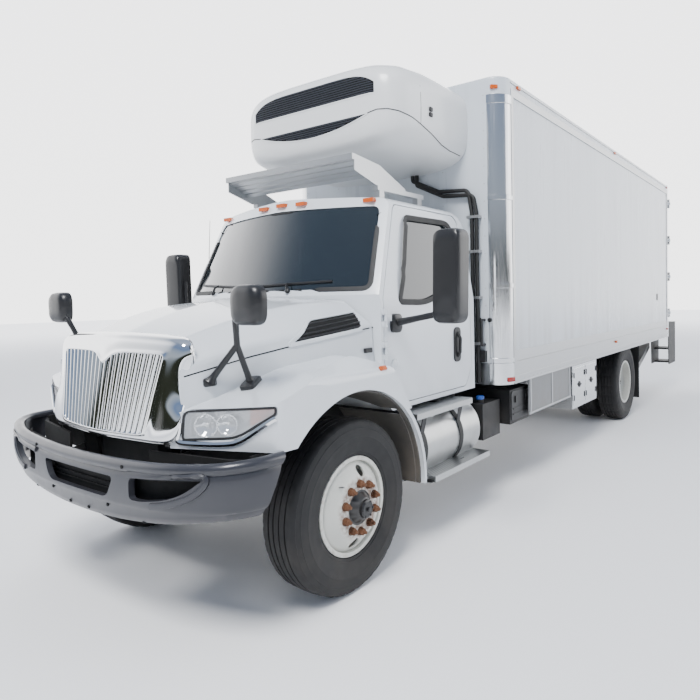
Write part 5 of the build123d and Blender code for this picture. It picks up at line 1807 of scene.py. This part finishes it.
class TRUCK_OT_side_fittings(bpy.types.Operator):
    """Adds the tank's straps and ends, the steps' brackets, and the lockers' lids, doors and braces"""

    bl_idname = "truck.side_fittings"
    bl_label = "Side fittings"

    def execute(self, context):
        straps = Form()
        for x in (-0.87, -1.40):
            rows = [(-0.030, 0.2530), (-0.028, 0.2600), (0.028, 0.2600), (0.030, 0.2530)]
            straps.turn(rows, ahead(x, 0.82, 0.665), (1, 0, 0), 64, closed=True)
        straps.done("tank_straps", "chassis", "rubber", "rubber")
        ends = Form()
        for x, turn in ((-0.705, 1), (-1.725, -1)):
            ends.turn(
                [(-0.030, 0.2505), (-0.004, 0.2530), (0.003, 0.2480), (0.006, 0.2300), (0.001, 0.2200)],
                ahead(x, 0.82, 0.665), (turn, 0, 0), 64
            )
        neck = ahead(-1.12, 0.82 + 0.25 * math.cos(1.05), 0.665 + 0.25 * math.sin(1.05))
        out = Vector((0, math.cos(1.05), math.sin(1.05)))
        ends.turn(
            [(-0.01, 0.045), (0.018, 0.045), (0.020, 0.038), (0.050, 0.038), (0.056, 0.032), (0.056, 0.0001)],
            neck, out, 28
        )
        ends.done("tank_ends", "chassis", "tank", "aluminium")
        hangers = Form()
        for x in (-0.87, -1.40):
            for turned in (0.50, 0.95):
                out = Vector((0, math.cos(turned), math.sin(turned)))
                root = ahead(x, 0.82, 0.665) + out * 0.252
                hangers.prism(
                    [
                        root + Vector((-0.028, 0, 0)), root + Vector((0.028, 0, 0)),
                        Vector((root.x + 0.028, 1.075, 0.936)), Vector((root.x - 0.028, 1.075, 0.936))
                    ],
                    out * 0.010
                )
            hangers.box(ahead(x - 0.03, 0.985, 0.925), ahead(x + 0.03, 1.120, 0.940))
            hangers.prism(
                [
                    ahead(x - 0.03, 0.60, 0.395), ahead(x - 0.03, 1.145, 0.445),
                    ahead(x - 0.03, 1.145, 0.462), ahead(x - 0.03, 0.60, 0.440)
                ],
                (0.06, 0, 0)
            )
            hangers.box(ahead(x - 0.03, 0.56, 0.395), ahead(x + 0.03, 0.61, 0.70))
        hangers.twin()
        piece = hangers.done("step_brackets", "chassis", "black", "frame_black", bevel=0.002)
        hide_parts("step_hangers")
        cap = Form()
        cap.turn(
            [(0.0, 0.036), (0.022, 0.036), (0.028, 0.030), (0.028, 0.0001)], ahead(-1.90, 0.985, 0.878),
            (0, 0, 1), 24
        )
        cap.done("fluid_cap", "chassis", "blue", "rubber")
        lockers = Form()
        panel = rounded(
            [(-2.620, 0.640, 0.03), (-2.215, 0.640, 0.03), (-2.215, 0.905, 0.03), (-2.620, 0.905, 0.03)]
        )
        lockers.prism([ahead(p.x, 1.126, p.y) for p in panel], (0, 0.012, 0))
        for x in (-2.53, -2.305):
            lockers.box(ahead(x - 0.02, 1.134, 0.80), ahead(x + 0.02, 1.150, 0.86))
        for z in (0.69, 0.74):
            lockers.box(ahead(-2.59, 1.134, z), ahead(-2.245, 1.144, z + 0.014))
        lockers.done("locker_lid", "chassis", "black", "frame_black", bevel=0.003)
        doors = Form()
        for rear, front in ((-4.515, -4.125), (-4.095, -3.705)):
            panel = rounded(
                [(rear, 0.545, 0.02), (front, 0.545, 0.02), (front, 0.955, 0.02), (rear, 0.955, 0.02)]
            )
            doors.prism([ahead(p.x, 1.186, p.y) for p in panel], (0, 0.009, 0))
        doors.done("cabinet_doors", "chassis", "stainless", "polished_steel", bevel=0.003)
        handles = Form()
        for x in (-4.32, -3.90):
            handles.turn(
                [(0.0, 0.034), (0.006, 0.034), (0.009, 0.028), (0.009, 0.0001)], ahead(x, 1.195, 0.765),
                (0, 1, 0), 24
            )
            handles.box(ahead(x - 0.030, 1.200, 0.757), ahead(x + 0.030, 1.212, 0.773))
        for x in (-4.50, -4.14, -4.08, -3.72):
            handles.rod(ahead(x, 1.198, 0.60), ahead(x, 1.198, 0.66), 0.006, 10)
            handles.rod(ahead(x, 1.198, 0.85), ahead(x, 1.198, 0.91), 0.006, 10)
        handles.done("cabinet_handles", "chassis", "black", "frame_black", bevel=0.001)
        skirt = Form()
        for x in (-3.62, -3.10, -2.55):
            skirt.box(ahead(x - 0.012, 1.178, 0.665), ahead(x + 0.012, 1.186, 0.985))
        skirt.box(ahead(-3.648, 1.178, 0.655), ahead(-2.512, 1.187, 0.672))
        skirt.done("skirt_braces", "chassis", "aluminium", "aluminium", bevel=0.002)
        return {"FINISHED"}


class TRUCK_OT_body_fittings(bpy.types.Operator):
    """Adds the corner posts' clamps and feet, the scuff bands, the edge lamps, the vent and the sockets"""

    bl_idname = "truck.body_fittings"
    bl_label = "Body fittings"

    def corner(self, low, high, grow):
        """A sleeve round the left front corner post between two heights."""
        for z, lift in ((low, 0.0), (low + 0.004, grow), (high - 0.004, grow), (high, 0.0)):
            yield [
                POST_CENTRE + Vector((math.cos(a), math.sin(a), 0)) * (POST_RADIUS + lift) + Vector((0, 0, z))
                for a in [math.pi / 2 * k / 10 for k in range(11)]
            ] + [POST_CENTRE + Vector((0, 0.10, z)), POST_CENTRE + Vector((0.10, 0, z))]

    def execute(self, context):
        clamps = Form()
        for low, high, grow in (
            (1.190, 1.235, 0.006), (1.84, 1.885, 0.005), (2.60, 2.645, 0.005), (3.42, 3.50, 0.006)
        ):
            clamps.rings(list(self.corner(low, high, grow)))
        clamps.twin()
        clamps.done("corner_clamps", "chassis", "stainless", "polished_steel")
        low_caps = Form()
        low_caps.rings(list(self.corner(1.0, 1.19, 0.004)))
        low_caps.twin()
        low_caps.done("corner_feet", "chassis", "stainless", "polished_steel")
        scuff = Form()
        rear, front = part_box("rear_frame")[1].x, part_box("corner_posts")[0].x
        scuff.box((rear + 0.05, BOX_HIGH.y - 0.004, 1.196), (front - 0.05, BOX_HIGH.y + 0.0035, 1.292))
        scuff.twin()
        scuff.done("scuff_bands", "chassis", "aluminium", "aluminium", bevel=0.001)
        amber, red = Form(), Form()
        for x in (-2.25, -5.30):
            lamp_pad(amber, ahead(x, BOX_HIGH.y + 0.004, 3.600), (0, 1, 0), (1, 0, 0), 0.034, 0.013, 0.018)
        lamp_pad(
            amber, ahead(-1.952, 1.13, 3.555), Vector((0.75, 0.66, 0)), Vector((0.66, -0.75, 0)), 0.034,
            0.016, 0.018
        )
        lamp_pad(red, ahead(-8.50, BOX_HIGH.y + 0.004, 3.600), (0, 1, 0), (1, 0, 0), 0.034, 0.013, 0.018)
        lamp_pad(red, ahead(-8.50, RAIL_HIGH.y + 0.004, 1.145), (0, 1, 0), (1, 0, 0), 0.034, 0.016, 0.016)
        lamp_pad(amber, ahead(-5.30, RAIL_HIGH.y + 0.004, 1.145), (0, 1, 0), (1, 0, 0), 0.034, 0.016, 0.016)
        turned = Vector((0.30, 0.954, 0))
        lamp_pad(
            red, POST_CENTRE + Vector((0, 0, 1.045)) + turned * 0.159, turned, Vector((0.954, -0.30, 0)),
            0.045, 0.020, 0.008
        )
        for y in (0.17, 0.0, 1.06):
            lamp_pad(red, (BOX_REAR - 0.040, y, 3.575), (-1, 0, 0), (0, 1, 0), 0.045, 0.016, 0.016)
        for y in (0.82, 1.04):
            red.turn(
                [(0.0, 0.052), (0.010, 0.050), (0.018, 0.036), (0.020, 0.0001)], (BOX_REAR - 0.041, y, 1.09),
                (-1, 0, 0), 28
            )
        amber.twin()
        red.twin()
        amber.done("edge_lamps_amber", "chassis", "amber", "lamp_amber")
        red.done("edge_lamps_red", "chassis", "red", "lamp_amber")
        vent = Form()
        panel = rounded(
            [(-7.82, 1.655, 0.01), (-7.71, 1.655, 0.01), (-7.71, 1.762, 0.01), (-7.82, 1.762, 0.01)]
        )
        vent.prism([ahead(p.x, BOX_HIGH.y - 0.003, p.y) for p in panel], (0, 0.005, 0))
        for z in (1.68, 1.70, 1.72, 1.74):
            vent.box(
                ahead(-7.81, BOX_HIGH.y + 0.001, z - 0.004), ahead(-7.72, BOX_HIGH.y + 0.0035, z + 0.004)
            )
        vent.done("side_vent", "chassis", "dash", "box_white")
        wall = Form()
        for y in (0.975, 1.071):
            wall.turn(
                [(0, 0.020), (0.012, 0.020), (0.014, 0.014), (0.014, 0.0001)], (BOX_FRONT, y, 1.567),
                (1, 0, 0), 20
            )
        grab = [(0.0, 1.567), (0.055, 1.567), (0.062, 1.56), (0.062, 1.36), (0.055, 1.352), (0.0, 1.352)]
        wall.tube([(BOX_FRONT + out, 1.02, z) for out, z in grab], 0.012, 10)
        wall.box((BOX_FRONT - 0.002, 0.96, 1.20), (BOX_FRONT + 0.045, 1.04, 1.30))
        wall.done("wall_sockets", "chassis", "black", "frame_black", bevel=0.002)
        return {"FINISHED"}


class TRUCK_OT_tail(bpy.types.Operator):
    """Adds the rear doors' seals and hinges and the bare plate"""

    bl_idname = "truck.tail"
    bl_label = "Tail"

    def execute(self, context):
        for side, name in ((1, "left"), (-1, "right")):
            low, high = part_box("rear_door_" + name)
            inner, outer = (low.y, high.y) if side > 0 else (high.y, low.y)
            face = BOX_REAR - 0.052
            rear = skin("rear_door_" + name)
            seal = Form()
            y0, y1 = inner + side * 0.04, outer - side * 0.13
            corners = [Vector((y0, 1.32)), Vector((y1, 1.32)), Vector((y1, 3.45)), Vector((y0, 3.45))]
            band(
                seal, rear, [Vector((face - 0.6, p.x, p.y)) for p in spaced(corners, 0.12)], (1, 0, 0),
                0.012, 0.008
            )
            seal.done(f"rear_door_seal_{name}", "load_door_" + name, "rubber", "rubber")
            gear = Form()
            for z in (1.45, 2.0, 2.75, 3.30):
                place, _ = laid(rear, (face - 0.6, outer - side * 0.15, z), (1, 0, 0))
                gear.box(place + Vector((-0.010, -0.10, -0.022)), place + Vector((0.004, 0.06, 0.022)))
                studs(
                    gear, [place + Vector((-0.010, dy, 0)) for dy in (-0.07, 0.0, 0.04)], (-1, 0, 0), 0.008,
                    0.007
                )
            gear.done(
                f"rear_door_hinges_{name}", "load_door_" + name, "stainless", "polished_steel", bevel=0.002
            )
        plate = Form()
        plate.box((BOX_REAR - 0.048, -0.155, 1.05), (BOX_REAR - 0.041, 0.155, 1.15))
        studs(plate, [(BOX_REAR - 0.048, y, 1.13) for y in (-0.11, 0.11)], (-1, 0, 0), 0.006, 0.004)
        plate.done("bare_plate", "chassis", "white_lens", "box_white", bevel=0.002)
        return {"FINISHED"}


class TRUCK_OT_underbody(bpy.types.Operator):
    """Adds the brake chambers, spring clamps and dampers"""

    bl_idname = "truck.underbody"
    bl_label = "Underbody"

    def execute(self, context):
        parts = Form()
        for axle, back, y, lift in ((FRONT_AXLE.x, -0.19, 0.50, 0.11), (REAR_AXLE.x, 0.20, 0.50, 0.02)):
            start = Vector((axle + back, y, FRONT_AXLE.z + lift))
            run = Vector((1 if back > 0 else -1, 0, 0.25)).normalized()
            parts.turn(
                [
                    (0, 0.0001), (0, 0.05), (0.03, 0.085), (0.055, 0.088), (0.06, 0.096), (0.07, 0.096),
                    (0.075, 0.088), (0.12, 0.08), (0.145, 0.05), (0.15, 0.0001)
                ],
                start, run, 24
            )
            for x in (-0.075, 0.075):
                for across in (-0.045, 0.045):
                    low = Vector((axle + x, 0.45 + across, FRONT_AXLE.z - 0.10))
                    parts.rod(low, low + Vector((0, 0, 0.24)), 0.010, 10)
            low = Vector((axle - back * 0.8, 0.525, FRONT_AXLE.z - 0.06))
            high = low + Vector((-back * 0.9, -0.045, 0.34))
            parts.tube(
                [low, low.lerp(high, 0.5), low.lerp(high, 0.52), high], [0.030, 0.030, 0.024, 0.024], 16
            )
        parts.twin()
        parts.done("running_gear", "chassis", "cast", "frame_black", smooth=40)
        return {"FINISHED"}


# Stage


class TruckStage(bpy.types.PropertyGroup):
    """The camera and light."""

    camera_place: FloatVectorProperty(
        name="Camera place",
        description="Where the camera stands, ahead of the front axle",
        default=(2.7318, 3.4042, 1.7716),
        subtype="TRANSLATION",
        unit="LENGTH",
    )
    yaw: FloatProperty(
        name="Yaw", description="Heading of the view", default=math.radians(215.1967), subtype="ANGLE"
    )
    pitch: FloatProperty(
        name="Pitch", description="Tilt of the view", default=math.radians(-1.9734), subtype="ANGLE"
    )
    roll: FloatProperty(
        name="Roll", description="Lean of the view", default=math.radians(-1.1048), subtype="ANGLE"
    )
    lens: FloatProperty(name="Lens", description="Focal length in millimetres", default=30.64, min=10.0)
    shift_x: FloatProperty(name="Shift across", description="The view's shift across", default=-0.0704)
    shift_y: FloatProperty(name="Shift up", description="The view's shift up", default=-0.0448)
    sun: FloatProperty(
        name="Key light", description="Power of the main soft light in watts", default=1500.0, min=0.0
    )


class TRUCK_OT_stage(bpy.types.Operator):
    """Lays the pale floor and sets the soft light and the camera"""

    bl_idname = "truck.stage"
    bl_label = "Stage"

    def execute(self, context):
        look = context.scene.truck_stage
        mesh = bpy.data.meshes.new("floor")
        reach = 60.0
        mesh.from_pydata(
            [(-reach, -reach, 0), (reach, -reach, 0), (reach, reach, 0), (-reach, reach, 0)], [],
            [(0, 1, 2, 3)]
        )
        floor = bpy.data.objects.new("floor", mesh)
        mesh.materials.append(FINISHES["floor"].material)
        context.scene.collection.objects.link(floor)
        self.sky(context)
        for name, place, aim, size, power in (
            ("key_light", (10.0, 3.0, 11.0), (0.5, 0, 1), 4.0, look.sun * 1.35),
            ("fill_light", (-4.0, 13.0, 7.0), (-1, 0, 1.5), 8.0, look.sun * 0.35),
            ("back_light", (-10.0, -9.0, 8.0), (0, 0, 1), 9.0, look.sun * 0.6),
        ):
            data = bpy.data.lights.new(name, "AREA")
            data.size = size
            data.energy = power
            light = bpy.data.objects.new(name, data)
            light.location = place
            light.rotation_mode = "QUATERNION"
            light.rotation_quaternion = (Vector(aim) - Vector(place)).to_track_quat("-Z", "Y")
            context.scene.collection.objects.link(light)
        self.camera(context, look)
        return {"FINISHED"}

    def sky(self, context):
        """A pale room, bright behind the truck, with a blue sky over a dark skyline ahead of it."""
        world = bpy.data.worlds.new("studio")
        context.scene.world = world
        world.use_nodes = True
        tree = world.node_tree
        background = tree.nodes["Background"]
        coords = tree.nodes.new("ShaderNodeTexCoord")
        split = tree.nodes.new("ShaderNodeSeparateXYZ")
        tree.links.new(coords.outputs["Generated"], split.inputs[0])
        ramps = []
        for stops in (
            (
                (-1.0, (4.5, 4.5, 4.5)), (-0.02, (4.5, 4.5, 4.5)), (0.45, (4.3, 4.3, 4.4)),
                (0.70, (0.6, 0.7, 0.9))
            ),
            (
                (-1.0, (0.22, 0.21, 0.20)),
                (-0.06, (0.16, 0.16, 0.16)),
                (-0.03, (0.03, 0.035, 0.03)),
                (0.08, (0.045, 0.05, 0.035)),
                (0.13, (0.62, 0.70, 0.80)),
                (0.42, (0.26, 0.38, 0.64)),
                (0.75, (0.36, 0.46, 0.68)),
                (1.0, (0.9, 1.0, 1.2)),
            ),
        ):
            ramp = tree.nodes.new("ShaderNodeValToRGB")
            for index, (height, color) in enumerate(stops):
                at = (height + 1) / 2
                stop = ramp.color_ramp.elements[index] if index < 2 else ramp.color_ramp.elements.new(at)
                stop.position = at
                stop.color = (*color, 1.0)
            half = tree.nodes.new("ShaderNodeMapRange")
            half.inputs["From Min"].default_value = -1.0
            tree.links.new(split.outputs["Z"], half.inputs["Value"])
            tree.links.new(half.outputs[0], ramp.inputs[0])
            ramps.append(ramp)
        side = tree.nodes.new("ShaderNodeVectorMath")
        side.operation = "DOT_PRODUCT"
        side.inputs[1].default_value = (0.80, 0.60, 0.0)
        tree.links.new(coords.outputs["Generated"], side.inputs[0])
        front = tree.nodes.new("ShaderNodeMapRange")
        front.interpolation_type = "SMOOTHSTEP"
        front.inputs["From Min"].default_value = -0.25
        front.inputs["From Max"].default_value = 0.25
        tree.links.new(side.outputs["Value"], front.inputs["Value"])
        mix = tree.nodes.new("ShaderNodeMix")
        mix.data_type = "RGBA"
        colors = [socket for socket in mix.inputs if socket.type == "RGBA"]
        tree.links.new(front.outputs[0], mix.inputs["Factor"])
        for ramp, socket in zip(ramps, colors):
            tree.links.new(ramp.outputs[0], socket)
        tree.links.new(next(socket for socket in mix.outputs if socket.type == "RGBA"), background.inputs[0])
        background.inputs["Strength"].default_value = 0.80

    def camera(self, context, look):
        """The photograph's viewpoint."""
        forward = Vector(
            (
                math.cos(look.pitch) * math.cos(look.yaw),
                math.cos(look.pitch) * math.sin(look.yaw),
                math.sin(look.pitch),
            )
        )
        level = forward.cross(Vector((0, 0, 1))).normalized()
        up = level.cross(forward)
        right = level * math.cos(look.roll) + up * math.sin(look.roll)
        top = up * math.cos(look.roll) - level * math.sin(look.roll)
        data = bpy.data.cameras.new("camera")
        data.lens = look.lens
        data.sensor_width = 36.0
        data.shift_x = look.shift_x
        data.shift_y = look.shift_y
        data.clip_end = 300.0
        camera = bpy.data.objects.new("camera", data)
        turn = Matrix((right, top, -forward)).transposed()
        camera.matrix_world = Matrix.Translation(ahead(*look.camera_place)) @ turn.to_4x4()
        context.scene.collection.objects.link(camera)
        context.scene.camera = camera


class TRUCK_OT_frame(bpy.types.Operator):
    """Gives every frame node its finish"""

    bl_idname = "truck.frame"
    bl_label = "Frame finishes"

    def execute(self, context):
        dress_frame()
        return {"FINISHED"}


SETTINGS = {
    "truck_wheels": TruckWheels,
    "truck_cab": TruckCab,
    "truck_nose": TruckNose,
    "truck_unit": TruckUnit,
    "truck_body": TruckBody,
    "truck_stage": TruckStage,
}
OPERATORS = (
    TRUCK_OT_frame,
    TRUCK_OT_tyres,
    TRUCK_OT_nuts,
    TRUCK_OT_window_seals,
    TRUCK_OT_door_trim,
    TRUCK_OT_door_mirrors,
    TRUCK_OT_seats,
    TRUCK_OT_grille,
    TRUCK_OT_headlights,
    TRUCK_OT_bumper,
    TRUCK_OT_hood_trim,
    TRUCK_OT_wipers,
    TRUCK_OT_unit,
    TRUCK_OT_rivets,
    TRUCK_OT_body_rails,
    TRUCK_OT_side_fittings,
    TRUCK_OT_body_fittings,
    TRUCK_OT_tail,
    TRUCK_OT_underbody,
    TRUCK_OT_stage,
)


class TRUCK_PT_panel(bpy.types.Panel):
    """The truck's pieces in the sidebar"""

    bl_idname = "TRUCK_PT_panel"
    bl_label = "Truck"
    bl_space_type = "VIEW_3D"
    bl_region_type = "UI"
    bl_category = "Truck"

    def draw(self, context):
        for operator in OPERATORS:
            self.layout.operator(operator.bl_idname)
        for name, group in SETTINGS.items():
            column = self.layout.box().column()
            for field in group.__annotations__:
                column.prop(getattr(context.scene, name), field)


def register():
    for group in SETTINGS.values():
        bpy.utils.register_class(group)
    for operator in OPERATORS:
        bpy.utils.register_class(operator)
    bpy.utils.register_class(TRUCK_PT_panel)
    for name, group in SETTINGS.items():
        setattr(bpy.types.Scene, name, PointerProperty(type=group))


def unregister():
    for name in SETTINGS:
        delattr(bpy.types.Scene, name)
    bpy.utils.unregister_class(TRUCK_PT_panel)
    for operator in reversed(OPERATORS):
        bpy.utils.unregister_class(operator)
    for group in reversed(SETTINGS.values()):
        bpy.utils.unregister_class(group)


def main():
    register()
    for operator in OPERATORS:
        group, name = operator.bl_idname.split(".")
        getattr(getattr(bpy.ops, group), name)()


if __name__ == "__main__":
    main()
